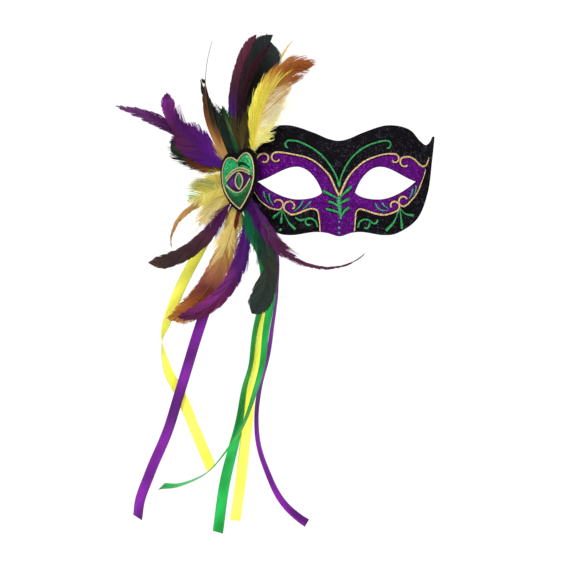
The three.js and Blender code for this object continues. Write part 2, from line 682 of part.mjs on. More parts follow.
function spine(row) {
  const points = [seat(row.aim, layerHeight(row.layer), SLIP)];
  const step = row.reach / SPINE_STEPS;
  for (let i = 0; i < SPINE_STEPS; i++) {
    const s = (i + 0.5) * step;
    const t = clamp01((s - row.hold) / (row.reach - row.hold));
    const angle = radians(row.aim + row.turn * t ** row.ease);
    const blend = smooth(t * BEND_RATE);
    const deepen = (1 - blend) * slope * Math.cos(angle) + blend * row.lean;
    const heading = vector(Math.cos(angle), deepen, Math.sin(angle));
    points.push(points[i].clone().addScaledVector(heading, step));
  }
  return points;
}

function vaneWidth(row, share) {
  const shape = SHAPES[row.shape];
  const t = (share * row.reach - row.stem) / (row.reach - row.stem) / shape.end;
  if (t <= 0 || t >= 1) return 0;
  const slimmed = 1 - (1 - shape.share) * smooth((t - shape.slim) / NARROWING);
  const wide = row.wide * slimmed;
  if (t < shape.peak) return wide * Math.sin((Math.PI / 2) * (t / shape.peak));
  return wide * Math.cos((Math.PI / 2) * ((t - shape.peak) / (1 - shape.peak)) ** shape.blunt);
}

function feather(row) {
  const points = spine(row);
  const rings = [];
  for (let i = 0; i <= FEATHER_RINGS; i++) {
    const share = i / FEATHER_RINGS;
    const at = share * SPINE_STEPS;
    const k = Math.min(SPINE_STEPS - 1, Math.floor(at));
    const spot = points[k].clone().lerp(points[k + 1], at - k);
    const ahead = points[Math.min(SPINE_STEPS, k + 2)];
    const along = ahead.clone().sub(points[Math.max(0, k - 1)]).normalize();
    const turned = smooth((share * row.reach - row.hold) / FACING_RUN);
    const facing = axis.clone().lerp(vector(0, -1, 0), turned);
    const sideways = along.clone().cross(facing).normalize();
    const normal = sideways.clone().cross(along);
    const taper = 1 - TIP_THINNING * share;
    const half = Math.max(vaneWidth(row, share) / 2, (QUILL / 2) * taper);
    const thick = (QUILL / 2) * taper;
    const rim = Math.min(VANE_RIM, thick);
    const ring = [];
    const section = [
      [-1, -rim], [-RIDGE, -thick], [RIDGE, -thick], [1, -rim],
      [1, rim], [RIDGE, thick], [-RIDGE, thick], [-1, rim],
    ];
    for (const [a, h] of section) {
      ring.push(spot.clone().addScaledVector(sideways, a * half).addScaledVector(normal, h));
    }
    rings.push(ring);
  }
  return loft(rings);
}

for (const row of FEATHERS) add(part, `feather_${row.name}`, row.look, feather(row));

// Ribbon tails. Each leaves the hub at an angle and height, then runs through its knots.
// A knot is x, y, z and face: how far the ribbon's flat has turned from facing the viewer, in degrees.
const RIBBONS = [
  {
    name: "ribbon_yellow_left", look: "yellow_satin", aim: 220, height: 0.8, knots: [
      [-104, 56, -18, -35], [-126, 61, -57, -10], [-145, 62, -94, 0],
      [-157, 62, -126, 40], [-161, 62, -142, 88], [-156.5, 61, -166, 140],
      [-143, 60, -193, 172], [-127, 58, -232, 184], [-116, 57, -258, 190],
    ],
  },
  {
    name: "ribbon_purple_left", look: "purple_satin", aim: 220, height: 2.2, knots: [
      [-97, 48, -20, -30], [-101.5, 52, -57, -5], [-111, 54, -84, 0],
      [-123.5, 54, -120, 6], [-138.5, 54, -168, 10], [-155.5, 53, -223, 16],
      [-172.5, 53, -264, 12], [-181.5, 54, -288, 18], [-183.5, 54, -303, 28],
    ],
  },
  {
    name: "ribbon_green_front", look: "green_satin", aim: 246, height: 2.2, knots: [
      [-90.5, 42.7, -20, -30], [-69, 47, -60, 10], [-66.5, 48, -94, 46],
      [-73.2, 48, -123, 58], [-79.4, 48, -163, 64], [-84.4, 48, -183, 60],
      [-87.6, 48, -204, 50], [-91.6, 48, -224, 36], [-96.2, 48, -244, 18],
      [-103.4, 48, -274, 4], [-109.5, 48, -318, -6],
    ],
  },
  {
    name: "ribbon_yellow_right", look: "yellow_satin", aim: 246, height: 0.8, knots: [
      [-90, 45.5, -20, -30], [-67.5, 54, -60, 0], [-61, 55, -94, 10],
      [-68.3, 55, -131, 14], [-76.8, 55, -177, 12], [-82.6, 54.5, -223, 8],
      [-87.8, 54, -269, 4], [-93.3, 54, -308, 0],
    ],
  },
  {
    name: "ribbon_green_curl", look: "green_satin", aim: 272, height: 2.2, knots: [
      [-84, 36.4, -22, -30], [-61, 40, -60, 10], [-60, 40, -94, 35],
      [-63.9, 40, -124, 47], [-69.3, 39.5, -163, 55], [-73.7, 39, -183, 60],
      [-80.7, 38, -204, 66], [-95.1, 37, -233.5, 76], [-119.2, 37, -261.6, 84],
      [-145.3, 37, -274.7, 78], [-159.4, 37, -275.6, 60],
    ],
  },
  {
    name: "ribbon_purple_right", look: "purple_satin", aim: 272, height: 0.8, knots: [
      [-84, 38.8, -22, -35], [-68, 45.5, -40, -10], [-57, 57.5, -59, 30],
      [-54.5, 61, -89, 66], [-55.5, 61, -109, 73], [-59, 62, -135, 66],
      [-64, 62, -160, 64], [-69.5, 62.5, -185, 64], [-73.5, 62.5, -212, 64],
      [-70, 61, -241, 62], [-58.5, 58, -275, 56], [-46, 57, -294, 50],
      [-33, 56, -306.5, 42], [-26.5, 56, -311, 38],
    ],
  },
];
const RIBBON_STEPS = 24;
const RIBBON_START_FACE = -42; // the flat lies on the badge's plane at the hub

function ribbon(row) {
  const start = seat(row.aim, row.height, 2 * SLIP);
  const knots = [[start.x, start.y, start.z, RIBBON_START_FACE], ...row.knots];
  const stops = knots.map(([x, y, z, face]) => ({ spot: vector(x, y, z), face }));
  const route = new THREE.CatmullRomCurve3(stops.map((stop) => stop.spot), false, "centripetal");
  const rings = [];
  for (let i = 0; i <= RIBBON_STEPS; i++) {
    const share = i / RIBBON_STEPS;
    const spot = route.getPointAt(share);
    const along = route.getTangentAt(share);
    const place = route.getUtoTmapping(share) * (stops.length - 1);
    const k = Math.min(stops.length - 2, Math.floor(place));
    const face = radians(stops[k].face + (stops[k + 1].face - stops[k].face) * (place - k));
    const flat = along.clone().cross(vector(0, -1, 0)).normalize();
    const normal = flat.clone().cross(along);
    const sideways = flat.clone().multiplyScalar(Math.cos(face)).addScaledVector(normal, Math.sin(face));
    const out = sideways.clone().cross(along);
    const half = (RIBBON_PINCH + (RIBBON_WIDTH - RIBBON_PINCH) * smooth(share / RIBBON_SPREAD)) / 2;
    const ring = [];
    for (const [a, h] of [[-1, -1], [1, -1], [1, 1], [-1, 1]]) {
      const edge = spot.clone().addScaledVector(sideways, a * half);
      ring.push(edge.addScaledVector(out, (h * RIBBON_THICK) / 2));
    }
    rings.push(ring);
  }
  return loft(rings, false, true);
}

for (const row of RIBBONS) add(part, row.name, row.look, ribbon(row));

export default part;
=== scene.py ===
import math
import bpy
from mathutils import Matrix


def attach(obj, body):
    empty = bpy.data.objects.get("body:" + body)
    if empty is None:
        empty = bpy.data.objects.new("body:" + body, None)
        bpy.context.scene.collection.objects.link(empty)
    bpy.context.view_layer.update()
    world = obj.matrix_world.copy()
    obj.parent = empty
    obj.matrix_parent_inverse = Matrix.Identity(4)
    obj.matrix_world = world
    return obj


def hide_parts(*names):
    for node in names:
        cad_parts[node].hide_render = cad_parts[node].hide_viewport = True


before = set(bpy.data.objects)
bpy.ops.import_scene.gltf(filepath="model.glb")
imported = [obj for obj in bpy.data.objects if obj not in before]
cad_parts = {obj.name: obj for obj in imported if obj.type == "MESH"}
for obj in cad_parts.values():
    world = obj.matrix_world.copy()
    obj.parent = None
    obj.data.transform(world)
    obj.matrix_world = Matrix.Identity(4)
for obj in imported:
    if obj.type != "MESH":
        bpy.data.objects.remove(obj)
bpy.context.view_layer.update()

from types import SimpleNamespace

import bmesh
import bpy
import numpy as np
from mathutils import Vector, geometry

# Half mask for carnival: a glitter shell with piped lines, a heart badge, dyed feathers and ribbon tails

# Sizes in millimetres, in the part's frame: +X to the viewer's right, -Y to the viewer, +Z up
MM = 0.001
WALL = 2.0
# The gap between neighbouring pieces
SLIP = 0.3
# How the shell wraps round the face and bows from brow to cheek, and the level where the bow is flat
WRAP_R = 118
BOW_R = 260
BOW_LEVEL = 8
# The hub, and the quills that leave it in layers below its top
HUB_X = -79
HUB_Z = 8
HUB_R = 6.5
HUB_HEIGHT = 10.4
QUILL = 1.2
LAYER_MARGIN = 0.4
LAYER_PITCH = 1.65
# The badge's tilt in degrees, its shift from the hub, its lean for each step up, and its panel's shift
HEART_TILT = 12
HEART_SHIFT = -4.5
HEART_LEAN = 0.14
PANEL_SHIFT = 0.8
# The ribbons' full width and their width at the hub, the share of the length in which they widen, their
# thickness, and the turn of their flat at the hub in degrees
RIBBON_WIDTH = 9.8
RIBBON_PINCH = 2.8
RIBBON_SPREAD = 0.2
RIBBON_THICK = 0.3
RIBBON_START_FACE = -42
# The nose ridge, which widens on its way down, and the swellings of brow and cheek
NOSE = SimpleNamespace(top=30, run=75, rise=17, narrow=9, wide=16)
FACE_BUMPS = [
    SimpleNamespace(x=38, z=24, wide=24, tall=11, rise=3.0),
    SimpleNamespace(x=45, z=-30, wide=20, tall=12, rise=3.5),
]


# Small helpers
def named(columns, cells):
    """One row of a table, with its cells named by the columns."""
    return SimpleNamespace(**dict(zip(columns.split(), cells)))


def smooth(t):
    """Eases from 0 to 1 while t goes from 0 to 1."""
    t = np.clip(t, 0, 1)
    return t * t * (3 - 2 * t)


def ease(value, start, run):
    """Eases from 0 to 1 while a value goes over a run from its start."""
    return smooth((value - start) / run)


def bump(t):
    """A bell curve of height 1 about 0."""
    return np.exp(-t * t)


def quarter_round(t):
    """Height of a rounded edge, at a share t of its radius in from the edge."""
    return np.sqrt(np.clip(1 - (1 - t) ** 2, 0, 1))


def unit(v):
    return v / np.linalg.norm(v, axis=-1, keepdims=True)


def stack(x, y, z):
    return np.stack(np.broadcast_arrays(x, y, z), axis=-1).astype(float)


def linear(code):
    """An sRGB hex colour as linear red, green, blue."""
    parts = np.array([int(code[i : i + 2], 16) / 255 for i in (0, 2, 4)])
    return np.where(parts <= 0.04045, parts / 12.92, ((parts + 0.055) / 1.055) ** 2.4)


def resample(line, count):
    """A line's points spaced evenly."""
    gaps = np.linalg.norm(np.diff(line, axis=0), axis=1)
    reach = np.concatenate([[0], np.cumsum(gaps)])
    at = np.linspace(0, reach[-1], count)
    return np.stack([np.interp(at, reach, column) for column in line.T], axis=1)


def length_of(line):
    return float(np.linalg.norm(np.diff(line, axis=0), axis=1).sum())


# Steps from one knot of a smooth line to the next
SPAN_STEPS = 24


def spline(knots):
    """A smooth line through knots, as a centripetal Catmull-Rom curve."""
    knots = np.asarray(knots, float)
    ends = np.vstack([2 * knots[0] - knots[1], knots, 2 * knots[-1] - knots[-2]])
    t = np.linspace(0, 1, SPAN_STEPS, endpoint=False)[:, None]
    rows = []
    for p, q, r, s in zip(ends, ends[1:], ends[2:], ends[3:]):
        before, span, after = (np.linalg.norm(d) ** 0.5 for d in (q - p, r - q, s - r))
        leave = ((q - p) / before - (r - p) / (before + span) + (r - q) / span) * span
        arrive = ((r - q) / span - (s - q) / (span + after) + (s - r) / after) * span
        bend = -3 * q + 3 * r - 2 * leave - arrive
        twist = 2 * q - 2 * r + leave + arrive
        rows.append(q + leave * t + bend * t**2 + twist * t**3)
    return np.vstack([*rows, knots[-1:]])


# Face form of the shell, the same as in the part
def face_depth(x, z):
    wrap = WRAP_R - np.sqrt(WRAP_R**2 - x * x)
    bow = (z - BOW_LEVEL) ** 2 / (2 * BOW_R)
    down = smooth((NOSE.top - z) / NOSE.run)
    depth = wrap + bow - NOSE.rise * down * bump(x / (NOSE.narrow + (NOSE.wide - NOSE.narrow) * down))
    for b in FACE_BUMPS:
        depth = depth - b.rise * bump((np.abs(x) - b.x) / b.wide) * bump((z - b.z) / b.tall)
    return depth


BRIDGE = face_depth(0.0, 0.0)


def front_normal(x, z):
    step = 0.05
    along_x = (face_depth(x + step, z) - face_depth(x - step, z)) / (2 * step)
    along_z = (face_depth(x, z + step) - face_depth(x, z - step)) / (2 * step)
    return unit(stack(along_x, -1.0, along_z))


def front_point(x, z, lift):
    """Points at a lift off the shell's front."""
    x, z = np.asarray(x, float), np.asarray(z, float)
    base = stack(x, face_depth(x, z) - BRIDGE - WALL, z)
    return base + front_normal(x, z) * np.asarray(lift, float)[..., None]


# Meshes. Lengths below TINY don't count, and an area's inner points keep EDGE_ROOM grid steps off its edges.
TINY = 1e-6
EDGE_ROOM = 0.6


def sweep(rings, closed=False):
    """Quads over rings of equal point count, capped at both ends unless the sweep closes on itself."""
    count, sides = rings.shape[:2]
    faces = []
    for i in range(count if closed else count - 1):
        here, after = i * sides, (i + 1) % count * sides
        for j in range(sides):
            k = (j + 1) % sides
            faces.append((here + j, here + k, after + k, after + j))
    if not closed:
        faces.append(tuple(range(sides))[::-1])
        faces.append(tuple(range((count - 1) * sides, count * sides)))
    return rings.reshape(-1, 3), faces


def join(parts):
    """Several (points, faces) as one."""
    points, faces, start = [], [], 0
    for some, round_them in parts:
        points.append(some)
        faces += [tuple(i + start for i in face) for face in round_them]
        start += len(some)
    return np.vstack(points), faces


def make_piece(name, points, faces, finish, slot, replaced=(), closed=True, values=None):
    """A smooth-shaded mesh that rides on the root. values are named numbers or vectors at its points."""
    mesh = bpy.data.meshes.new(name)
    mesh.from_pydata((points * MM).tolist(), [], faces)
    for label, data in (values or {}).items():
        kind = "FLOAT" if data.ndim == 1 else "FLOAT_VECTOR"
        field = "value" if data.ndim == 1 else "vector"
        mesh.attributes.new(label, kind, "POINT").data.foreach_set(field, data.astype(np.float32).ravel())
    if closed:
        solid = bmesh.new()
        solid.from_mesh(mesh)
        bmesh.ops.recalc_face_normals(solid, faces=solid.faces)
        solid.to_mesh(mesh)
        solid.free()
    mesh.shade_smooth()
    piece = bpy.data.objects.new(name, mesh)
    bpy.context.scene.collection.objects.link(piece)
    mesh.materials.append(finish)
    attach(piece, "root")
    if replaced:
        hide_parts(*replaced)
    return piece


def inside(points, loop):
    """Which points lie inside a closed loop."""
    x, y = points[:, :1], points[:, 1:]
    ax, ay = loop.T
    bx, by = np.roll(loop, -1, axis=0).T
    with np.errstate(divide="ignore", invalid="ignore"):
        crossing = (ay > y) != (by > y)
        left = x < ax + (bx - ax) * (y - ay) / (by - ay)
    return (crossing & left).sum(axis=1) % 2 == 1


def gap_to(points, loop):
    """Each point's distance to a closed loop."""
    best = np.full(len(points), np.inf)
    for a, b in zip(loop, np.roll(loop, -1, axis=0)):
        d = b - a
        t = np.clip(((points - a) @ d) / max(d @ d, TINY**2), 0, 1)
        best = np.minimum(best, np.linalg.norm(points - a - t[:, None] * d, axis=1))
    return best


def fill(loops, pitch):
    """Points and triangles over the area inside the first loop and outside the others."""
    low, high = loops[0].min(axis=0), loops[0].max(axis=0)
    columns, rows = (np.arange(low[i], high[i], pitch) for i in (0, 1))
    grid = np.stack(np.meshgrid(columns, rows), axis=-1)
    grid[::2, :, 0] += pitch / 2
    grid = grid.reshape(-1, 2)
    for n, loop in enumerate(loops):
        grid = grid[inside(grid, loop) == (n == 0)]
        grid = grid[gap_to(grid, loop) > EDGE_ROOM * pitch]
    edges, start = [], 0
    for loop in loops:
        edges += [(start + i, start + (i + 1) % len(loop)) for i in range(len(loop))]
        start += len(loop)
    flat = np.vstack([*loops, grid])
    whole_hull = 0
    made = geometry.delaunay_2d_cdt([Vector(p) for p in flat], edges, [], whole_hull, TINY)
    flat = np.array([tuple(p) for p in made[0]])
    triangles = np.array([tuple(t) for t in made[2]])
    middle = flat[triangles].mean(axis=1)
    kept = inside(middle, loops[0])
    for loop in loops[1:]:
        kept &= ~inside(middle, loop)
    return flat, triangles[kept]


def slab(flat, triangles, top, rim, bottom, place):
    """A closed body over an area: its top lifts, one bottom lift, and a rim of (outward, lift) steps."""
    count = len(flat)
    once = {}
    for a, b, c in triangles:
        for edge in ((a, b), (b, c), (c, a)):
            once[edge] = edge
    border = [edge for edge in once if edge[::-1] not in once]
    outward = np.zeros((count, 2))
    for a, b in border:
        d = unit(flat[b] - flat[a])
        outward[[a, b]] += (d[1], -d[0])
    around = sorted({a for a, _ in border})
    at = {v: i for i, v in enumerate(around)}
    outward = unit(outward[around])
    layers = [place(flat, top), place(flat, np.full(count, bottom))]
    for out, lift in rim:
        layers.append(place(flat[around] + out * outward, np.full(len(around), lift)))
    faces = [tuple(t) for t in triangles] + [tuple(t[::-1] + count) for t in triangles]
    starts = [2 * count + n * len(around) for n in range(len(rim))]
    for a, b in border:
        steps = [(start + at[a], start + at[b]) for start in starts]
        chain = [(a, b), *steps, (a + count, b + count)]
        for (p, q), (r, s) in zip(chain, chain[1:]):
            faces.append((q, p, r, s))
    return np.vstack(layers), faces


# Materials
def add(tree, kind, links=None, stops=None, **settings):
    """Adds a shader node with its settings, its socket values or links, and a ramp's colour stops."""
    made = tree.nodes.new("ShaderNode" + kind)
    for name, value in settings.items():
        setattr(made, name, value)
    for socket, value in (links or {}).items():
        if isinstance(value, bpy.types.NodeSocket):
            tree.links.new(value, made.inputs[socket])
        else:
            made.inputs[socket].default_value = value
    for n, (position, code) in enumerate(stops or ()):
        ramp = made.color_ramp.elements
        stop = ramp[n] if n < 2 else ramp.new(position)
        stop.position = position
        stop.color = (*linear(code), 1)
    return made


def blank(name, **sockets):
    """A material with one Principled shader whose fixed values are given."""
    finish = bpy.data.materials.new(name)
    finish.use_nodes = True
    tree = finish.node_tree
    tree.nodes.clear()
    shader = add(tree, "BsdfPrincipled", {key.replace("_", " "): value for key, value in sockets.items()})
    add(tree, "OutputMaterial", {"Surface": shader.outputs[0]})
    return finish, tree, shader


def flake_tilt(tree, flakes, amount):
    """Tilts the normal by each flake's own random colour, so that flakes glint one by one."""
    centred = add(tree, "VectorMath", {0: flakes.outputs["Color"], 1: (-0.5, -0.5, -0.5)}, operation="ADD")
    scaled = add(tree, "VectorMath", {0: centred.outputs[0], "Scale": amount}, operation="SCALE")
    facing = add(tree, "NewGeometry")
    tilted = add(tree, "VectorMath", {0: scaled.outputs[0], 1: facing.outputs["Normal"]}, operation="ADD")
    return add(tree, "VectorMath", {0: tilted.outputs[0]}, operation="NORMALIZE").outputs[0]


def glitter_coated_pvc():
    # Thin vacuum-formed PVC dusted with fine polyester glitter in clear glue, black outside the gold
    # lines and violet inside them: a dark ground pricked with lighter flakes, the lightest of them
    # painted glints on top of the flakes' random tone. Real flakes are 0.2 mm, drawn 0.8 mm across so
    # that they show.
    finish, tree, shader = blank("glitter_coated_pvc", Roughness=0.7, IOR=1.5, Specular_IOR_Level=0.05)
    flake_size = 0.8
    flake_lean = 0.5
    patch_size = 6.0
    patch_weight = 0.7
    zone_blur = 0.2
    spot = add(tree, "TexCoord").outputs["Object"]
    flakes = add(tree, "TexVoronoi", {"Vector": spot, "Scale": 1 / (flake_size * MM)})
    patches = add(tree, "TexNoise", {"Vector": spot, "Scale": 1 / (patch_size * MM), "Detail": 2.0})
    chance = add(tree, "SeparateColor", {"Color": flakes.outputs["Color"]})
    sown = {0: patches.outputs["Fac"], 1: patch_weight, 2: chance.outputs[0]}
    laid = add(tree, "Math", sown, operation="MULTIPLY_ADD")
    level = add(tree, "MapRange", {"Value": laid.outputs[0], "From Min": 0.2, "From Max": 1.4})
    # Top stops: the lightest flakes, painted glints
    black_stops = [(0.0, "040305"), (0.55, "09070b"), (0.86, "120f16"), (0.97, "403848")]
    violet_stops = [(0.0, "2a0338"), (0.5, "4a0562"), (0.84, "5e0878"), (0.97, "842c9c")]
    black = add(tree, "ValToRGB", {"Fac": level.outputs[0]}, black_stops)
    violet = add(tree, "ValToRGB", {"Fac": level.outputs[0]}, violet_stops)
    zone = add(tree, "Attribute", attribute_name="violet_zone")
    blurred = {"Value": zone.outputs["Fac"], "From Min": -zone_blur, "From Max": zone_blur}
    edge = add(tree, "MapRange", blurred)
    both = add(tree, "MixRGB", {"Fac": edge.outputs[0], 1: black.outputs[0], 2: violet.outputs[0]})
    tree.links.new(both.outputs[0], shader.inputs["Base Color"])
    tree.links.new(flake_tilt(tree, flakes, flake_lean), shader.inputs["Normal"])
    return finish


def glitter_glue(name, stops):
    # Coloured glitter in PVA glue, piped from a nozzle and dried to a raised bead: a soft plastic
    # shine broken up by flakes. Real flakes are 0.2 mm, drawn 0.5 mm across so that they show.
    finish, tree, shader = blank(name, Roughness=0.42, IOR=1.48, Metallic=0.15, Specular_IOR_Level=0.4)
    flake_size = 0.5
    flake_lean = 0.8
    spot = add(tree, "TexCoord").outputs["Object"]
    flakes = add(tree, "TexVoronoi", {"Vector": spot, "Scale": 1 / (flake_size * MM)})
    chance = add(tree, "SeparateColor", {"Color": flakes.outputs["Color"]})
    tint = add(tree, "ValToRGB", {"Fac": chance.outputs[0]}, stops)
    tree.links.new(tint.outputs[0], shader.inputs["Base Color"])
    tree.links.new(flake_tilt(tree, flakes, flake_lean), shader.inputs["Normal"])
    return finish


def glitter_cloth(name, stops):
    # Knitted cloth coated with holographic foil dots, glued over padding: bright and dark patches of
    # one hue, with painted light and painted shade laid into the colour from a value at each point:
    # painted shade where the padding turns the cloth away from the light. Real dots are 0.3 mm across,
    # drawn 1 mm so that they show.
    finish, tree, shader = blank(name, Roughness=0.4, Metallic=0.2, Specular_IOR_Level=0.3)
    dot_size = 1.0
    dot_lean = 0.6
    dot_weight = 1.5
    patch_size = 4.0
    painted_light_weight = 2.4
    spot = add(tree, "TexCoord").outputs["Object"]
    dots = add(tree, "TexVoronoi", {"Vector": spot, "Scale": 1 / (dot_size * MM)})
    patches = add(tree, "TexNoise", {"Vector": spot, "Scale": 1 / (patch_size * MM), "Detail": 2.0})
    chance = add(tree, "SeparateColor", {"Color": dots.outputs["Color"]})
    # Painted light and painted shade at each point, added to the level that picks the colour
    painted_light = add(tree, "Attribute", attribute_name="painted_light")
    sown = {0: chance.outputs[0], 1: dot_weight, 2: patches.outputs["Fac"]}
    mottle = add(tree, "Math", sown, operation="MULTIPLY_ADD")
    lit = {0: painted_light.outputs["Fac"], 1: painted_light_weight, 2: mottle.outputs[0]}
    both = add(tree, "Math", lit, operation="MULTIPLY_ADD")
    level = add(tree, "MapRange", {"Value": both.outputs[0], "From Min": 0.5, "From Max": 4.2})
    tint = add(tree, "ValToRGB", {"Fac": level.outputs[0]}, stops)
    tree.links.new(tint.outputs[0], shader.inputs["Base Color"])
    tree.links.new(flake_tilt(tree, dots, dot_lean), shader.inputs["Normal"])
    return finish


def pressed_felt(name, low, high):
    # Pressed polyester felt: matted fibres that scatter light, so it is dull and slightly mottled. Real
    # fibres are 0.02 mm thick, drawn as clumps 0.5 mm across so that they show.
    finish, tree, shader = blank(
        name, Roughness=0.95, Specular_IOR_Level=0.04, Sheen_Weight=0.02, Sheen_Roughness=0.6
    )
    fibre_size = 0.5
    relief_depth = 0.2
    spot = add(tree, "TexCoord").outputs["Object"]
    fibres = add(tree, "TexNoise", {"Vector": spot, "Scale": 1 / (fibre_size * MM), "Detail": 4.0})
    tint = add(tree, "ValToRGB", {"Fac": fibres.outputs["Fac"]}, [(0.3, low), (0.75, high)])
    height = {"Height": fibres.outputs["Fac"], "Strength": 0.5, "Distance": relief_depth * MM}
    relief = add(tree, "Bump", height)
    tree.links.new(tint.outputs[0], shader.inputs["Base Color"])
    tree.links.new(relief.outputs[0], shader.inputs["Normal"])
    return finish


def metallic_cord():
    # Viscose core wrapped in gold polyester foil and twisted. Its colour follows each point's height on a
    # strand: painted shade, brown, in the grooves and a painted highlight on the crests.
    finish, tree, shader = blank("metallic_cord", Roughness=0.4, Metallic=0.3)
    groove = add(tree, "Attribute", attribute_name="crest")
    # Painted shade in the grooves up to a painted highlight on the crests
    stops = [(0.0, "74542c"), (0.5, "ccae78"), (1.0, "f4e6bc")]
    tint = add(tree, "ValToRGB", {"Fac": groove.outputs["Fac"]}, stops)
    tree.links.new(tint.outputs[0], shader.inputs["Base Color"])
    return finish


def dyed_feather():
    # Cock's hackle and saddle feathers, bleached and dyed: keratin barbs with a soft silky shine,
    # each barb its own strip, coloured along its length by the dye. The colour also carries painted shade
    # on the web under the barbs and the painted sheen and show-through marked in the colour tables.
    finish, tree, shader = blank("dyed_feather", Roughness=0.5, IOR=1.54, Specular_IOR_Level=0.12)
    dye = add(tree, "Attribute", attribute_name="dye")
    tree.links.new(dye.outputs["Color"], shader.inputs["Base Color"])
    return finish


def polyester_satin(name, deep, bright):
    # Woven polyester satin: long floats run down the ribbon, too fine to show one by one, and give it a
    # smooth shine. The broad brighter and darker bands along it are painted sheen: noise in the colour
    # between a darker and a lighter tone, laid along the ribbon apart from its ripple.
    finish, tree, shader = blank(name, Roughness=0.42, Specular_IOR_Level=0.18)
    band_width = 16
    band_length = 40
    weave = add(tree, "Attribute", attribute_name="weave")
    stretch = (1 / band_width, 1 / band_length, 1.0)
    stretched = add(tree, "VectorMath", {0: weave.outputs["Vector"], 1: stretch}, operation="MULTIPLY")
    # Painted sheen: broad bands of noise along the ribbon
    painted_sheen_bands = add(tree, "TexNoise", {"Vector": stretched.outputs[0], "Scale": 1.0, "Detail": 1.0})
    tint = add(tree, "ValToRGB", {"Fac": painted_sheen_bands.outputs["Fac"]}, [(0.35, deep), (0.65, bright)])
    tree.links.new(tint.outputs[0], shader.inputs["Base Color"])
    return finish


def bead_shadow_finish(name, code):
    # A flat, dark, dull band under the piped lines, wider than each bead: painted shadow that shows as a
    # thin dark edge along each bead.
    return blank(name, Base_Color=(*linear(code), 1), Roughness=0.7, Specular_IOR_Level=0.05)[0]


SHELL_FINISH = glitter_coated_pvc()
GOLD_GLUE = glitter_glue("gold_glitter_glue", [(0.0, "8e6a38"), (0.5, "c8a66c"), (0.95, "eed8aa")])
GREEN_GLUE = glitter_glue("green_glitter_glue", [(0.0, "0a5426"), (0.5, "14843e"), (0.95, "44b870")])
TEAL_GLUE = glitter_glue("teal_glitter_glue", [(0.0, "14604e"), (0.5, "23806a"), (0.95, "5ab09c")])
GREEN_CLOTH = glitter_cloth(
    "green_glitter_cloth", [(0.0, "021a0b"), (0.45, "0a6430"), (0.8, "189650"), (1.0, "3ec07c")]
)
VIOLET_CLOTH = glitter_cloth(
    "violet_glitter_cloth", [(0.0, "10021a"), (0.45, "3a0850"), (0.8, "641480"), (1.0, "9048a8")]
)
BLACK_FELT = pressed_felt("black_pressed_felt", "040404", "0e0d10")
# Dark green felt for the painted shadow above the heart's eye
BROW_SHADOW_FINISH = pressed_felt("painted_brow_shadow_felt", "03190c", "0a3a1d")
# Dark finish for the painted shadows along the beads
BEAD_SHADOW_FINISH = bead_shadow_finish("painted_bead_shadow", "0b0410")
CORD_FINISH = metallic_cord()
FEATHER_FINISH = dyed_feather()
# Each satin's two colours are the darker and the lighter tone of its painted sheen bands
SATIN = {
    "yellow_satin": polyester_satin("yellow_polyester_satin", "f0f048", "fdfd6c"),
    "purple_satin": polyester_satin("purple_polyester_satin", "500866", "7c1a98"),
    "green_satin": polyester_satin("green_polyester_satin", "0e8a34", "20b04e"),
}


# Camera, floor and lights. The camera stands far off, so that the view has next to no perspective.
PIXELS = 573
MM_PER_PIXEL = 0.92
CAMERA_TURN = math.radians(-3)
CAMERA_FAR = 5000
CAMERA_AIM = np.array([-48.3, 0.0, -90.6])
FLOOR_LEVEL = -350
FLOOR_RADIUS = 750
FLOOR_SIDES = 96


def set_camera():
    forward = np.array([-math.sin(CAMERA_TURN), math.cos(CAMERA_TURN), 0.0])
    data = bpy.data.cameras.new("camera")
    data.sensor_width = 36
    data.lens = data.sensor_width * CAMERA_FAR / (PIXELS * MM_PER_PIXEL)
    data.clip_end = 100
    camera = bpy.data.objects.new("camera", data)
    camera.location = (CAMERA_AIM - forward * CAMERA_FAR) * MM
    camera.rotation_euler = (math.pi / 2, 0, CAMERA_TURN)
    bpy.context.scene.collection.objects.link(camera)
    bpy.context.scene.camera = camera


def set_floor():
    # Uncoated white paper: dull and even, with clumps of fibre about 2.5 mm across.
    finish, tree, shader = blank("white_studio_paper", Roughness=0.9, Specular_IOR_Level=0.1)
    clump_size = 2.5
    spot = add(tree, "TexCoord").outputs["Object"]
    fibres = add(tree, "TexNoise", {"Vector": spot, "Scale": 1 / (clump_size * MM), "Detail": 3.0})
    tint = add(tree, "ValToRGB", {"Fac": fibres.outputs["Fac"]}, [(0.3, "f6f6f6"), (0.7, "fbfbfb")])
    tree.links.new(tint.outputs[0], shader.inputs["Base Color"])
    around = np.linspace(0, 2 * math.pi, FLOOR_SIDES, endpoint=False)
    corners = stack(np.cos(around), np.sin(around), 0) * (FLOOR_RADIUS * MM)
    mesh = bpy.data.meshes.new("floor")
    mesh.from_pydata(corners.tolist(), [], [tuple(range(FLOOR_SIDES))])
    mesh.materials.append(finish)
    floor = bpy.data.objects.new("floor", mesh)
    floor.location = (0, 0, FLOOR_LEVEL * MM)
    bpy.context.scene.collection.objects.link(floor)


def set_light(name, place, aim, size, power):
    """A round lamp. Places and size are in metres, power in watts."""
    data = bpy.data.lights.new(name, "AREA")
    data.shape = "DISK"
    data.size = size
    data.energy = power
    light = bpy.data.objects.new(name, data)
    light.location = place
    light.rotation_euler = (Vector(aim) - Vector(place)).to_track_quat("-Z", "Y").to_euler()
    bpy.context.scene.collection.objects.link(light)


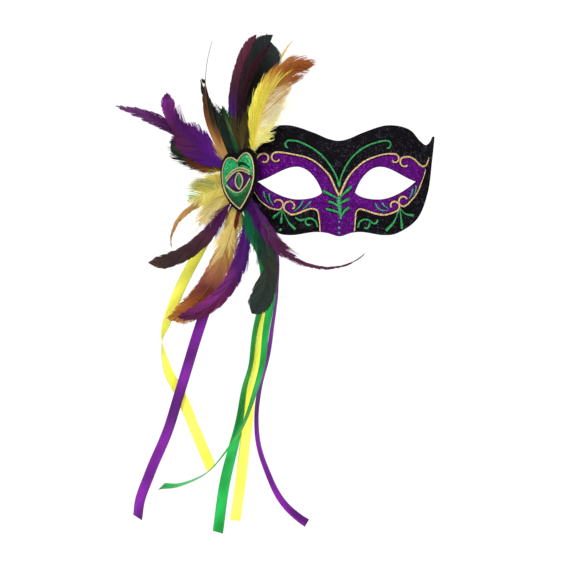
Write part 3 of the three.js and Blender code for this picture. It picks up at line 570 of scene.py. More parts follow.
def set_studio():
    middle = CAMERA_AIM * MM
    set_light("key", place=(-0.8, -1.7, 1.3), aim=middle, size=1.2, power=34)
    set_light("fill", place=(1.3, -1.6, 0.3), aim=middle, size=1.2, power=18)
    set_light("rim", place=(-0.3, 1.4, 1.2), aim=middle, size=1.0, power=10)
    set_light("overhead", place=(0.0, 0.3, 1.5), aim=(0.0, 0.3, -0.35), size=1.4, power=14)
    world = bpy.data.worlds.new("studio")
    world.use_nodes = True
    tree = world.node_tree
    tree.nodes.clear()
    seen = add(tree, "LightPath").outputs["Is Camera Ray"]
    room = add(tree, "Background", {"Color": (1, 1, 1, 1), "Strength": 0.42})
    sweep_white = add(tree, "Background", {"Color": (1, 1, 1, 1), "Strength": 1.05})
    both = add(tree, "MixShader", {0: seen, 1: room.outputs[0], 2: sweep_white.outputs[0]})
    add(tree, "OutputWorld", {"Surface": both.outputs[0]})
    bpy.context.scene.world = world
    bpy.context.scene.view_settings.view_transform = "Standard"


set_camera()
set_floor()
set_studio()

# The hub on the shell and the badge's plane, the same as in the part
AXIS = front_normal(HUB_X, HUB_Z)
ACROSS = unit(np.cross([0, 0, 1], AXIS))
UPWARD = np.cross(AXIS, ACROSS)
FOOT = front_point(HUB_X, HUB_Z, SLIP)
SLOPE = ACROSS[1] / ACROSS[0]


def on_hub(u, v, w):
    """A place by its steps across and up the hub's foot, and out along its axis."""
    return FOOT + u * ACROSS + v * UPWARD + w * AXIS


def seat(degrees, w, apart):
    """Where a quill or ribbon leaves the hub's side: its angle, its height and the gap to the side."""
    angle = math.radians(degrees)
    heading = unit(ACROSS * math.cos(angle) / ACROSS[0] + UPWARD * math.sin(angle))
    return on_hub(0, 0, w) + heading * (HUB_R + apart)


# Ribbon tails. aim and height say where one leaves the hub, and slant how its end is cut. A knot is x, y, z
# and how far the flat has turned from facing the viewer, in degrees.
RIBBONS = {
    "yellow_left": SimpleNamespace(slot="yellow_satin", aim=220, height=0.8, slant=-0.35, knots=[
        (-104, 56, -18, -35), (-126, 61, -57, -10), (-145, 62, -94, 0),
        (-157, 62, -126, 40), (-161, 62, -142, 88), (-156.5, 61, -166, 140),
        (-143, 60, -193, 172), (-127, 58, -232, 184), (-116, 57, -258, 190),
    ]),
    "purple_left": SimpleNamespace(slot="purple_satin", aim=220, height=2.2, slant=-0.45, knots=[
        (-97, 48, -20, -30), (-101.5, 52, -57, -5), (-111, 54, -84, 0),
        (-123.5, 54, -120, 6), (-138.5, 54, -168, 10), (-155.5, 53, -223, 16),
        (-172.5, 53, -264, 12), (-181.5, 54, -288, 18), (-183.5, 54, -303, 28),
    ]),
    "green_front": SimpleNamespace(slot="green_satin", aim=246, height=2.2, slant=-0.15, knots=[
        (-90.5, 42.7, -20, -30), (-69, 47, -60, 10), (-66.5, 48, -94, 46),
        (-73.2, 48, -123, 58), (-79.4, 48, -163, 64), (-84.4, 48, -183, 60),
        (-87.6, 48, -204, 50), (-91.6, 48, -224, 36), (-96.2, 48, -244, 18),
        (-103.4, 48, -274, 4), (-109.5, 48, -318, -6),
    ]),
    "yellow_right": SimpleNamespace(slot="yellow_satin", aim=246, height=0.8, slant=0, knots=[
        (-90, 45.5, -20, -30), (-67.5, 54, -60, 0), (-61, 55, -94, 10),
        (-68.3, 55, -131, 14), (-76.8, 55, -177, 12), (-82.6, 54.5, -223, 8),
        (-87.8, 54, -269, 4), (-93.3, 54, -308, 0),
    ]),
    "green_curl": SimpleNamespace(slot="green_satin", aim=272, height=2.2, slant=-0.6, knots=[
        (-84, 36.4, -22, -30), (-61, 40, -60, 10), (-60, 40, -94, 35),
        (-63.9, 40, -124, 47), (-69.3, 39.5, -163, 55), (-73.7, 39, -183, 60),
        (-80.7, 38, -204, 66), (-95.1, 37, -233.5, 76), (-119.2, 37, -261.6, 84),
        (-145.3, 37, -274.7, 70), (-159.4, 37, -275.6, 52),
    ]),
    "purple_right": SimpleNamespace(slot="purple_satin", aim=272, height=0.8, slant=0, knots=[
        (-84, 38.8, -22, -35), (-68, 45.5, -40, -10), (-57, 57.5, -59, 30),
        (-54.5, 61, -89, 66), (-55.5, 61, -109, 73), (-59, 62, -135, 66),
        (-64, 62, -160, 64), (-69.5, 62.5, -185, 64), (-73.5, 62.5, -212, 64),
        (-70, 61, -241, 62), (-58.5, 58, -275, 56), (-46, 57, -294, 50),
        (-33, 56, -306.5, 42), (-26.5, 56, -311, 38),
    ]),
}
# Ripple of the ribbons: depth, wavelength, the share of the length where it starts, and how fast it grows
RIPPLE = 0.5
RIPPLE_LENGTH = 58
RIPPLE_START = 0.25
RIPPLE_GROWTH = 5
# How far a slanted cut reaches back, how much the middle stands over the edges, and the mesh's columns and
# step. In even steps, so many degrees of turn count as one millimetre.
RIBBON_CUT = 7
RIBBON_CROWN = 0.25
RIBBON_COLUMNS = 9
RIBBON_STEP = 1.6
TURN_SCALE = 100


def make_ribbon(name, row):
    """A satin tail: a thin band along its knots, pinched at the hub, rippled, and cut at a slant."""
    start = seat(row.aim, row.height, 2 * SLIP)
    knots = np.array([(*start, RIBBON_START_FACE), *row.knots], float)
    line = spline(knots[:, :3])
    turn = np.interp(np.arange(len(line)) / SPAN_STEPS, np.arange(len(knots)), knots[:, 3])
    count = int(length_of(line) / RIBBON_STEP)
    even = resample(np.column_stack([line, turn / TURN_SCALE]), count)
    line, turn = even[:, :3], np.radians(even[:, 3] * TURN_SCALE)
    share = np.linspace(0, 1, count)
    run = share * length_of(line)
    along = unit(np.gradient(line, axis=0))
    flat = unit(np.cross(along, [0, -1, 0]))
    normal = np.cross(flat, along)
    sideways = flat * np.cos(turn)[:, None] + normal * np.sin(turn)[:, None]
    out = np.cross(sideways, along)
    grown = smooth((share - RIPPLE_START) * RIPPLE_GROWTH)
    wave = RIPPLE * grown * np.sin(2 * math.pi * run / RIPPLE_LENGTH + row.aim)
    line = line + out * wave[:, None]
    half = (RIBBON_PINCH + (RIBBON_WIDTH - RIBBON_PINCH) * smooth(share / RIBBON_SPREAD)) / 2
    spread = np.linspace(-1, 1, RIBBON_COLUMNS)
    crown = RIBBON_CROWN * (1 - spread**2)
    cut = row.slant * half * smooth((run - run[-1]) / RIBBON_CUT + 1)
    rings, weave = [], []
    for lift, order in ((RIBBON_THICK / 2, 1), (-RIBBON_THICK / 2, -1)):
        a, h = spread[::order], crown[::order] + lift
        middle = line[:, None] + along[:, None] * (a * cut[:, None] - cut[:, None])[..., None]
        rings.append(middle + sideways[:, None] * (a * half[:, None])[..., None] + out[:, None] * h[:, None])
        weave.append(stack(a * half[:, None], run[:, None], 0))
    points, faces = sweep(np.concatenate(rings, axis=1))
    values = {"weave": np.concatenate(weave, axis=1).reshape(-1, 3)}
    node = f"ribbon_{name}"
    piece = make_piece(f"satin_{name}", points, faces, SATIN[row.slot], row.slot, [node], values=values)


for ribbon_name, ribbon_row in RIBBONS.items():
    make_ribbon(ribbon_name, ribbon_row)

# Raised lines on the shell: knots (x, z), mirrored for the left side, and a hook at the end. A hook is a
# spiral: its centre x and z, first angle, turn, first and last radius, and how late the radius changes.
GOLD_LINES = {
    "right": {
        "brow": ([(0.2, -7.4), (3.4, -0.2), (7.5, 8.2), (14.5, 17), (24, 24.7), (34.8, 29.3), (44.5, 31.6),
                  (52.2, 31.7)], (52.4, 27.3, 95, -242, 4.5, 2.9)),
        "horn": ([(86.2, 29.6), (85, 25), (82.6, 21.5), (79.4, 20.9), (76.2, 22.9), (71.4, 27.2),
                  (66.3, 29.4), (62.8, 29)], (61.9, 24.5, 80, 236, 4.5, 4.0)),
        "side": ([(83.1, 18.5), (81.2, 12.1), (78.6, 5.7), (75.6, -1.4), (71.9, -7.1), (67.5, -12),
                  (63.9, -15.2), (61, -16.6)], (61.1, -11.5, -100, -235, 5.2, 3.6)),
        "cheek": ([(14.2, -40), (15.1, -28.2), (16.2, -21.6), (19, -19.3), (25.3, -20.6), (34.8, -23.6),
                   (43, -24.5), (50.3, -22.6)], (51.8, -16.5, -66, 272, 5.3, 2.6, 2)),
    },
    "left": {
        "brow": ([(0.2, -7.4), (3.4, -0.2), (8.3, 11.1), (13.1, 16.8), (20.1, 23.2), (29, 28.1), (38.6, 30.5),
                  (47.4, 32.3), (55.5, 33.3)], (56.6, 28.4, 92, -240, 4.9, 3.1)),
        "horn": ([(82.5, 21.5), (78.4, 23.2), (74.8, 26.8), (71.4, 31.2)], (67.6, 27.4, 62, 246, 5.0, 2.8)),
        "side": ([(77.2, -2), (74.9, -5.6), (71.5, -10.7), (66.8, -14.9), (61.4, -18.4), (57, -19.5)],
                 (55.2, -14.8, -74, -258, 5.2, 3.8)),
        "cheek": ([(16.9, -40.4), (17.9, -28), (19.8, -20.6), (24.3, -18.9), (30.5, -20.5), (37.4, -23.3),
                   (43, -24.4), (46.6, -22.4)], (44.4, -17.4, -62, 284, 5.4, 2.8, 4)),
    },
}
GREEN_LINES = {
    "right": {
        "brow": ([(0.15, 0.4), (0.8, 5), (2.2, 10.6), (6.6, 20), (12.4, 28.2), (20.6, 35.4), (30.2, 40.5),
                  (39.5, 43.3), (44.6, 44)], (45.2, 40.2, 95, -185, 3.8, 3.2)),
        "curl": ([(17.4, -36.4), (19.4, -31), (24, -28.8), (28.7, -29.8), (32.8, -32.4), (35.8, -31),
                  (36.3, -28.6)], None),
    },
    "left": {
        "brow": ([(0.15, 0.4), (0.8, 5), (2.3, 10.6), (6.6, 18.8), (14.8, 29.3), (25.4, 37.5), (38, 43.4),
                  (44, 44.1)], (44.8, 40.4, 92, -165, 3.7, 3.4)),
        "curl": ([(19.2, -36), (21, -30.5), (26, -27.8), (31, -28.8), (35.8, -29.3), (39.8, -26.6)], None),
    },
}
# The fern on the nose: its stem and its fronds
STEM = [(-0.4, -7.6), (-0.1, -15), (0.6, -22), (1.2, -28.9)]
FERN = [
    [(-1.2, -10), (-9, -5.5), (-15, -2.3)], [(0.2, -8.9), (6.1, -3.7), (12.1, 1.8)],
    [(-0.6, -17), (-5.8, -13.8), (-10, -12.1)], [(0.7, -15), (5.5, -11.6), (9.9, -9.7)],
    [(0.2, -23), (-6.3, -20.7), (-12.3, -18.9)], [(1.2, -26.6), (4.6, -21.4), (9.4, -17.5)],
]
# Dots as x, z and size
NOSE_DOTS = [(-0.3, -31.3, 1.9), (-0.3, -36.8, 2.5), (-0.3, -41.4, 2.3)]
RAY_DOTS = {"right": [], "left": [(-53, -38.2, 3.0)]}
# Strokes that fan out below each cheek's spirals
RAYS = {
    "right": [
        [(57.2, -18), (51.8, -30.6), (44, -39)], [(57.2, -18), (58.6, -28), (59.4, -37.3)],
        [(57.2, -18), (62.6, -23.2), (70.6, -24.8)],
    ],
    "left": [
        [(51.3, -19.9), (45.8, -30.9), (39.2, -37.9)], [(51.3, -19.9), (51.9, -26), (52.2, -32.4)],
        [(51.3, -19.9), (54.8, -23), (59.9, -27.6)],
    ],
}
# The small branch on each cheek curl, and thin leaf strokes beside the spirals
BRANCHES = {
    "right": [(29.2, -31.4), (27.6, -35.6), (25.6, -37), (23.6, -36)],
    "left": [(29.6, -28.2), (30.4, -31.2), (28.2, -33.8), (25.4, -33.4)],
}
LEAVES = {
    "right": [
        [(33.9, -13.7), (36.2, -17.9), (40.4, -20.2), (46, -20.6)], [(40.4, -13), (42.5, -16.1), (46, -18.2)],
        [(73.2, 3.1), (73, -1.1), (71.6, -5.3)], [(69.9, -0.1), (68.9, -5), (66.7, -9.2)],
    ],
    "left": [
        [(68.2, -2.4), (66.9, -7.6), (63.8, -13.2)], [(63, -4.3), (62.5, -9.8), (59.4, -15.7)],
        [(32.5, -11.5), (35.3, -16.5), (40.9, -21.5)], [(25.1, -11.8), (29.3, -16.2), (33.1, -19.9)],
    ],
}
# The thin line down the shell beside the badge
BADGE_LINE = [(74.5, 23), (75, 15), (74, 8)]
# Width and height of each kind of bead
GOLD_SIZE = SimpleNamespace(width=1.8, height=1.2)
GREEN_SIZE = SimpleNamespace(width=1.75, height=1.2)
FERN_SIZE = SimpleNamespace(width=2.5, height=1.3)
LEAF_SIZE = SimpleNamespace(width=1.5, height=0.8)
STEM_SIZE = SimpleNamespace(width=3.8, height=1.5)
THIN_SIZE = SimpleNamespace(width=0.9, height=0.6)
# Painted shadows under the beads: how much wider than a bead, and their height
BEAD_SHADOW_MARGIN = 2.0
BEAD_SHADOW_HEIGHT = -0.05
# How the width changes along a stroke
EVEN = (1, 1)
TEARDROP = (0.65, 0.68, 0.85, 1.4, 1.6)
LEAFLIKE = (1.25, 1.1, 0.9, 0.6)
FROND = (0.7, 0.8, 1.05, 1.15, 0.95)
SPINDLE = (0.7, 1.1, 0.95, 0.7, 0.6)
GOLD_PROFILES = {
    "brow": (1.25, 1.0, 0.85, 0.9, 1), "horn": (0.4, 0.95, 1, 1, 1), "side": (0.4, 0.6, 0.85, 1, 1),
    "cheek": (0.7, 0.85, 1.05, 1, 1),
}
SIDES = {"right": 1, "left": -1}
# Beads: sides of the dome, step and fewest steps along it, its narrowest share at an end, how full the dome
# is, how deep its foot lies under the surface, and the height added for that
BEAD = SimpleNamespace(sides=9, step=0.6, fewest=8, tip=0.04, dome=0.8, sunk=0.1, added=0.2)
# A bead's width wavers: the step between two random shares, how far they run on past its end, and their range
WAVER = SimpleNamespace(step=2.5, past=3, low=0.88, high=1.1)
# Dots: sides, rings, where the top is closed as a share of a half circle, rise against size, and foot
DOT = SimpleNamespace(sides=12, rings=5, top=0.48, rise=0.45, sunk=0.05)
HOOK_STEPS = 8
SEED = 7
random = np.random.default_rng(SEED)


def hook_knots(x, z, begin, turn, start, end, late=1):
    """A spiral's knots. Its radius goes from start to end, and late holds that back."""
    t = np.arange(1, HOOK_STEPS + 1) / HOOK_STEPS
    angle = np.radians(begin + turn * t)
    radius = start + (end - start) * t**late
    return [(x + r * math.cos(a), z + r * math.sin(a)) for r, a in zip(radius, angle)]


def glue_line(knots, hook, side, size, profile=EVEN):
    """A bead of piped glue on the shell, domed, with rounded ends and a slightly uneven width."""
    knots = [*knots, *(hook_knots(*hook) if hook else ())]
    line = spline(knots) * (side, 1)
    span = length_of(line)
    count = max(BEAD.fewest, int(span / BEAD.step))
    line = resample(line, count)
    run = np.linspace(0, span, count)
    near_end = np.minimum(run, span - run) / (0.5 * size.width)
    closing = quarter_round(np.clip(near_end, BEAD.tip, 1))
    places = np.arange(0, span + WAVER.past, WAVER.step)
    wave = np.interp(run, places, random.uniform(WAVER.low, WAVER.high, len(places)))
    normal = front_normal(line[:, 0], line[:, 1])
    heading = stack(np.gradient(line[:, 0]), 0, np.gradient(line[:, 1]))
    heading = unit(heading - (heading * normal).sum(axis=1, keepdims=True) * normal)
    sideways = np.cross(heading, normal)
    base = front_point(line[:, 0], line[:, 1], np.full(count, -BEAD.sunk))
    angle = np.linspace(0, math.pi, BEAD.sides)
    swell = np.interp(run / span, np.linspace(0, 1, len(profile)), profile)
    scale = (closing * wave * swell)[:, None, None]
    over = sideways[:, None] * np.cos(angle)[:, None] * size.width / 2
    up = normal[:, None] * (np.sin(angle)[:, None] ** BEAD.dome * (size.height + BEAD.added))
    return sweep(base[:, None] + (over + up) * scale)


def glue_dot(x, z, size):
    angle = np.linspace(0, 2 * math.pi, DOT.sides, endpoint=False)
    rings = []
    for tilt in np.linspace(0, DOT.top * math.pi, DOT.rings):
        radius = size / 2 * math.cos(tilt)
        lift = np.full(DOT.sides, size * DOT.rise * math.sin(tilt) - DOT.sunk)
        rings.append(front_point(x + radius * np.cos(angle), z + radius * np.sin(angle), lift))
    return sweep(np.array(rings))


def bead_shadow_line(knots, hook, side, size, profile=EVEN):
    """The painted shadow under a bead: a dark band wider than the bead, and almost flat."""
    painted = SimpleNamespace(width=size.width + BEAD_SHADOW_MARGIN, height=BEAD_SHADOW_HEIGHT)
    return glue_line(knots, hook, side, painted, profile)


def make_side_lines(tag, side):
    """One side's gold and green lines, rays and leaf strokes. Gives back their painted shadows."""
    bead_shadows = []
    for label, (knots, hook) in GOLD_LINES[tag].items():
        node = f"gold_{label}_{tag}"
        bead = glue_line(knots, hook, side, GOLD_SIZE, GOLD_PROFILES[label])
        make_piece(f"glue_{node}", *bead, GOLD_GLUE, "gold_glitter", [node])
        bead_shadows.append(bead_shadow_line(knots, hook, side, GOLD_SIZE))
    for label, (knots, hook) in GREEN_LINES[tag].items():
        node = f"green_{label}_{tag}"
        beads = [glue_line(knots, hook, side, GREEN_SIZE)]
        if label == "curl":
            beads.append(glue_line(BRANCHES[tag], None, side, GREEN_SIZE))
        make_piece(f"glue_{node}", *join(beads), GREEN_GLUE, "green_glitter", [node])
    rays = [glue_line(knots, None, side, GREEN_SIZE, TEARDROP) for knots in RAYS[tag]]
    rays += [glue_dot(*dot) for dot in RAY_DOTS[tag]]
    make_piece(f"glue_rays_{tag}", *join(rays), GREEN_GLUE, "green_glitter", [f"green_rays_{tag}"])
    leaves = join([glue_line(knots, None, side, LEAF_SIZE, LEAFLIKE) for knots in LEAVES[tag]])
    make_piece(f"glue_leaves_{tag}", *leaves, TEAL_GLUE, "green_glitter")
    return bead_shadows + [bead_shadow_line(knots, None, side, LEAF_SIZE) for knots in LEAVES[tag]]


def make_fern():
    """The fern on the nose. Gives back the painted shadows under its fronds."""
    fronds = [glue_line(knots, None, 1, FERN_SIZE, FROND) for knots in FERN]
    fern = join([glue_line(STEM, None, 1, STEM_SIZE, SPINDLE), *fronds])
    make_piece("glue_fern", *fern, GREEN_GLUE, "green_glitter", ["green_fern"])
    return [bead_shadow_line(knots, None, 1, FERN_SIZE, FROND) for knots in FERN]


bead_shadows = []
for tag, side in SIDES.items():
    bead_shadows += make_side_lines(tag, side)
bead_shadows += make_fern()
make_piece("glue_nose_dots", *join([glue_dot(*dot) for dot in NOSE_DOTS]), TEAL_GLUE, "green_glitter")
make_piece("glue_badge_line", *glue_line(BADGE_LINE, None, -1, THIN_SIZE), GOLD_GLUE, "gold_glitter")
# Painted shadows: dark bands under the gold lines, the leaves and the fronds, along each bead's edge
make_piece("painted_bead_shadows", *join(bead_shadows), BEAD_SHADOW_FINISH, "black_glitter")

# Mask shell: half outline from the top dip to the horn, then down to the nose tip
TOP_LINE = [
    (0, 43.8), (10, 45.9), (22, 51.1), (47, 58.6), (68, 54.7), (78, 44.5), (84, 40.8), (88.5, 43.6),
    (91.7, 49.4),
]
LOW_LINE = [
    (93, 49.9), (90, 26), (85.6, -3.5), (75, -28.2), (55, -41.7), (43, -43.4), (21.5, -40.5), (12, -41.3),
    (0, -44.6),
]
# The right eye hole, as curves with two end points and two pulls each
EYE_CURVES = [
    [(15.5, -4), (19, 8), (28, 19.7), (39, 19.7)],
    [(39, 19.7), (50, 19.7), (62, 10), (74, 6.6)],
    [(74, 6.6), (64, -2), (50, -10.3), (37, -10.3)],
    [(37, -10.3), (28, -10.3), (19, -8.5), (15.5, -4)],
]
# The rim's rounding, and its middle step out and down as shares of that
EDGE_ROUND = 0.5
RIM_OUT = 0.6
RIM_DROP = 0.3
# Mesh steps of the shell, of its top and lower half lines, and of each curve of an eye hole
SHELL_PITCH = 1.6
TOP_STEPS = 90
LOW_STEPS = 110
EYE_HOLE_STEPS = 24
# The least share that a corner's direction counts for when a loop is moved, so that it can't run off
CORNER_LIMIT = 0.6
# The violet zone's limits that the gold lines don't give: its peak on the nose, how far out the horn's line
# bounds it, corners between that line and the side's, and its low end. Its edge is marked to ZONE_REACH.
ZONE_PEAK = (0, -6)
ZONE_LIMITS = {
    "right": SimpleNamespace(horn_end=84, corners=[], low=(14.3, -50)),
    "left": SimpleNamespace(horn_end=math.inf, corners=[(86, 14), (82, 4)], low=(16.2, -50)),
}
ZONE_REACH = 3


def mirrored(knot):
    return (-knot[0], knot[1])


def mask_outline():
    """The whole rim. Each half's line is led in from the other half, so that they meet smoothly."""
    top = spline([mirrored(TOP_LINE[1]), *TOP_LINE])[SPAN_STEPS:]
    low = spline([*LOW_LINE, mirrored(LOW_LINE[-2])])[:-SPAN_STEPS]
    half = np.vstack([resample(top, TOP_STEPS), resample(low, LOW_STEPS)[1:]])
    return np.vstack([half, (half * (-1, 1))[-2:0:-1]])


def eye_outline():
    t = np.linspace(0, 1, EYE_HOLE_STEPS, endpoint=False)[:, None]
    spans = []
    for p, q, r, s in np.array(EYE_CURVES, float):
        spans.append((1 - t) ** 3 * p + 3 * (1 - t) ** 2 * t * q + 3 * (1 - t) * t * t * r + t**3 * s)
    return np.vstack(spans)


def moved_in(loop, distance):
    """A loop moved to the left of its direction of travel by a distance."""
    before, after = loop - np.roll(loop, 1, axis=0), np.roll(loop, -1, axis=0) - loop
    first, second = (unit(np.column_stack([-d[:, 1], d[:, 0]])) for d in (before, after))
    middle = unit(first + second)
    stretch = np.maximum(CORNER_LIMIT, (middle * first).sum(axis=1, keepdims=True))
    return loop + middle * distance / stretch


def violet_outline():
    """The violet zone: below the gold brows, inside the outer lines and above the cheek lines."""
    halves = {}
    for tag, limits in ZONE_LIMITS.items():
        lines = {label: spline(knots) for label, (knots, hook) in GOLD_LINES[tag].items()}
        horn = lines["horn"][::-1]
        horn = horn[horn[:, 0] < limits.horn_end]
        corners = np.reshape(limits.corners, (-1, 2))
        halves[tag] = np.vstack([
            ZONE_PEAK, lines["brow"], horn, corners, lines["side"], lines["cheek"][::-1], limits.low,
        ])
    return np.vstack([halves["right"], (halves["left"] * (-1, 1))[::-1]])


def on_shell(spots, lift):
    return front_point(spots[:, 0], spots[:, 1], lift)


def make_shell():
    outline = mask_outline()[::-1]
    eye = eye_outline()
    loops = [moved_in(outline, EDGE_ROUND), moved_in(eye, EDGE_ROUND), moved_in(eye * (-1, 1), -EDGE_ROUND)]
    flat, triangles = fill(loops, SHELL_PITCH)
    rim = [
        (RIM_OUT * EDGE_ROUND, -RIM_DROP * EDGE_ROUND), (EDGE_ROUND, -EDGE_ROUND),
        (EDGE_ROUND, EDGE_ROUND - WALL), (RIM_OUT * EDGE_ROUND, RIM_DROP * EDGE_ROUND - WALL),
    ]
    points, faces = slab(flat, triangles, np.zeros(len(flat)), rim, -WALL, on_shell)
    zone = violet_outline()
    spots = points[:, [0, 2]]
    signed = gap_to(spots, zone) * np.where(inside(spots, zone), 1, -1)
    lined = np.arange(len(points)) >= len(flat)
    signed[lined] = -ZONE_REACH
    piece = make_piece(
        "glitter_shell", points, faces, SHELL_FINISH, "black_glitter", ["mask_shell"],
        values={"violet_zone": np.clip(signed, -ZONE_REACH, ZONE_REACH)},
    )
    piece.data.materials.append(BLACK_FELT)
    back = np.zeros(len(piece.data.polygons), np.int32)
    back[len(triangles) : 2 * len(triangles)] = 1
    piece.data.polygons.foreach_set("material_index", back)


make_shell()

# Heart badge, flat in its own frame: u across, v up, w out of the face
TILT = math.radians(HEART_TILT)
BADGE_U = ACROSS * math.cos(TILT) + UPWARD * math.sin(TILT)
BADGE_V = UPWARD * math.cos(TILT) - ACROSS * math.sin(TILT)
BADGE_FOOT = on_hub(HEART_SHIFT, 0, HUB_HEIGHT + SLIP)
# Levels of the felt's and the cloth's top over the badge's foot, and radii of the border and lid cords
BACK_TOP = 2.6
PANEL_TOP = 4.8
BORDER_R = 0.72
LID_R = 0.66
# Right half outlines of the heart, from notch to tip: its edge, and the gold cord inside it
OUTER_HEART = [
    (0, 24.1), (4, 26.3), (9, 27.2), (14.5, 25.8), (19, 21.5), (21.8, 14), (22.2, 6), (21.2, -2),
    (18, -10.5), (13, -18.5), (7, -25), (0, -30.6),
]
INNER_HEART = [
    (0, 16.8), (4.1, 20.2), (7.8, 21.9), (11.7, 22), (15.8, 18.8), (18.3, 13), (19, 6), (18.1, -2.5),
    (14.8, -10.5), (10.2, -17), (4.9, -22.6), (0, -26.8),
]
EYE = SimpleNamespace(x=2.2, y=-0.5, half=15.6, rise=7.8, drop=11.2)
PUPIL = SimpleNamespace(x=3, y=-1.6, wide=3.4, tall=6.4)
PUPIL_RING = SimpleNamespace(wide=4.4, tall=7.4)
BROW_MARK = [(4.6, 11.5), (9, 12), (13, 10.7), (17.7, 7), (17.9, 7.8), (13.6, 12.9), (9.2, 15.2), (4.9, 14.9)]
# Padded shapes: bottom and top level, how far in the top is rounded over, and mesh pitch
PADS = {
    "heart_backing": (0, BACK_TOP + 0.6, 1.6, 1.4),
    "heart_panel": (BACK_TOP, PANEL_TOP + 0.4, 2.0, 1.0),
    "eye_panel": (BACK_TOP, PANEL_TOP, 1.4, 1.0),
    "pupil": (PANEL_TOP - 0.8, PANEL_TOP + 0.9, 1.0, 0.6),
    # The dark green painted shadow above the eye's upper lid
    "painted_brow_shadow": (PANEL_TOP - 0.2, PANEL_TOP + 0.9, 0.5, 0.6),
}
PANEL_INSET = 1.0
EYE_SHRINK = 0.97
# How full a lid's bow is, and how far the pupil's outline is pinched in towards its ends
LID_FULLNESS = 0.9
PUPIL_PINCH = 0.7
# How far the lid cords stop short of the corners, how far they lie off the eye's edge, and the fold's place
LID_STOP = 1
LID_RISE = 0.6
LID_DROP = 0.2
FOLD_RISE = 2.9
FOLD_SPREAD = 1.04
# Steps along each outline
HEART_STEPS = 64
ALMOND_STEPS = 40
PUPIL_STEPS = 48
LID_STEPS = 60
MARK_STEPS = 60
# Twisted cords: strands, the length of one twist, mesh sides and step, and as shares of the radius what a
# groove has, what a crest adds and what is left at a cut end
CORD = SimpleNamespace(strands=3, lay=4.2, sides=12, step=0.35, groove=0.8, crest=0.22, end=0.5)


def on_badge(spots, lift):
    return BADGE_FOOT + spots[:, :1] * BADGE_U + spots[:, 1:] * BADGE_V + np.asarray(lift)[:, None] * AXIS


def leaned(spots):
    return spots + HEART_LEAN * spots[:, 1:] * (1, 0)


def heart_outline(half, shift):
    right = resample(spline(half), HEART_STEPS)
    return leaned(np.vstack([right * (-1, 1), right[-2:0:-1]]) + (shift, 0))


def lid_bow(x):
    return np.cos(np.clip(x / EYE.half, -1, 1) * math.pi / 2) ** LID_FULLNESS


def on_eye(x, y):
    return leaned(np.column_stack([EYE.x + x, EYE.y + y]))


def almond(shrink):
    """The eye's outline, shrunk towards its middle."""
    x = np.linspace(-EYE.half, EYE.half, ALMOND_STEPS, endpoint=False)
    low = on_eye(x * shrink, -EYE.drop * lid_bow(x) * shrink)
    high = on_eye(-x * shrink, EYE.rise * lid_bow(x) * shrink)
    return np.vstack([low, high])


def pupil_outline(size):
    t = np.linspace(0, 2 * math.pi, PUPIL_STEPS, endpoint=False)
    x = size.wide * np.cos(t) * np.abs(np.cos(t)) ** PUPIL_PINCH
    return leaned(np.column_stack([PUPIL.x + x, PUPIL.y + size.tall * np.sin(t)]))


def pad(loops, low, high, round_over, pitch):
    """A flat shape on the badge whose top is rounded over towards its edges."""
    flat, triangles = fill(loops, pitch)
    gap = np.min([gap_to(flat, loop) for loop in loops], axis=0)
    top = high - round_over + round_over * quarter_round(np.clip(gap / round_over, 0, 1))
    return slab(flat, triangles, top, [], low, on_badge)


def twisted_cord(line, level, radius, closed):
    """A cord of twisted strands along a line on the badge, and how high each point is on a strand."""
    route = np.vstack([line, line[:1]]) if closed else line
    count = int(length_of(route) / CORD.step)
    line = resample(route, count + closed)[:count]
    if closed:
        heading = np.roll(line, -1, axis=0) - np.roll(line, 1, axis=0)
    else:
        heading = np.gradient(line, axis=0)
    out = unit(np.column_stack([heading[:, 1], -heading[:, 0]]))
    turns = max(1, round(count * CORD.step / CORD.lay))
    angle = np.linspace(0, 2 * math.pi, CORD.sides, endpoint=False)
    phase = np.linspace(0, 2 * math.pi * turns, count, endpoint=False)[:, None]
    crest = 0.5 + 0.5 * np.cos(CORD.strands * (angle - phase / CORD.strands))
    thick = radius * (CORD.groove + CORD.crest * crest)
    if not closed:
        thick[[0, -1]] *= CORD.end
    spots = line[:, None] + out[:, None] * (thick * np.cos(angle))[..., None]
    lift = level + thick * np.sin(angle)
    rings = on_badge(spots.reshape(-1, 2), lift.ravel()).reshape(count, CORD.sides, 3)
    return *sweep(rings, closed), crest.ravel()


def make_cord(name, line, level, radius, closed=False):
    points, faces, crest = twisted_cord(line, level, radius, closed)
    make_piece(f"twisted_{name}", points, faces, CORD_FINISH, "gold_glitter", [name], values={"crest": crest})


def badge_spots(points):
    """Points of the badge as spots on its plane."""
    return np.column_stack([(points - BADGE_FOOT) @ BADGE_U, (points - BADGE_FOOT) @ BADGE_V])


def make_cloth(name, node, loops, finish, slot, painted_light):
    """A padded cloth shape. Its last argument gives the painted light and shade at each spot."""
    points, faces = pad(loops, *PADS[node])
    values = {"painted_light": painted_light(badge_spots(points))}
    piece = make_piece(name, points, faces, finish, slot, [node], values=values)


def panel_painted_light(spots):
    """Painted light on the lobes and on a strip below the eye, painted shade towards the tip."""
    bright, loss = 0.95, 0.88
    x = spots[:, 0] - HEART_LEAN * spots[:, 1] - EYE.x
    below = EYE.y - EYE.drop * lid_bow(x) - spots[:, 1]
    return bright - loss * ease(below, start=1, run=4.5)


def eye_painted_light(spots):
    """Painted light to the left of the pupil, painted shade in the lower left corner and on the right."""
    dark, left_gain, top_gain = 0.22, 0.6, 0.15
    x, y = spots.T
    left = ease(-x, start=-3, run=9)
    low = ease(-y, start=4, run=5)
    return dark + left_gain * left * (1 - low) + top_gain * ease(y, start=3, run=4)


def pupil_painted_light(spots):
    """A painted highlight down the middle and painted shade at both sides."""
    bright, loss = 0.5, 0.45
    return bright - loss * ease(np.abs(spots[:, 0] - PUPIL.x), start=0.6, run=2)


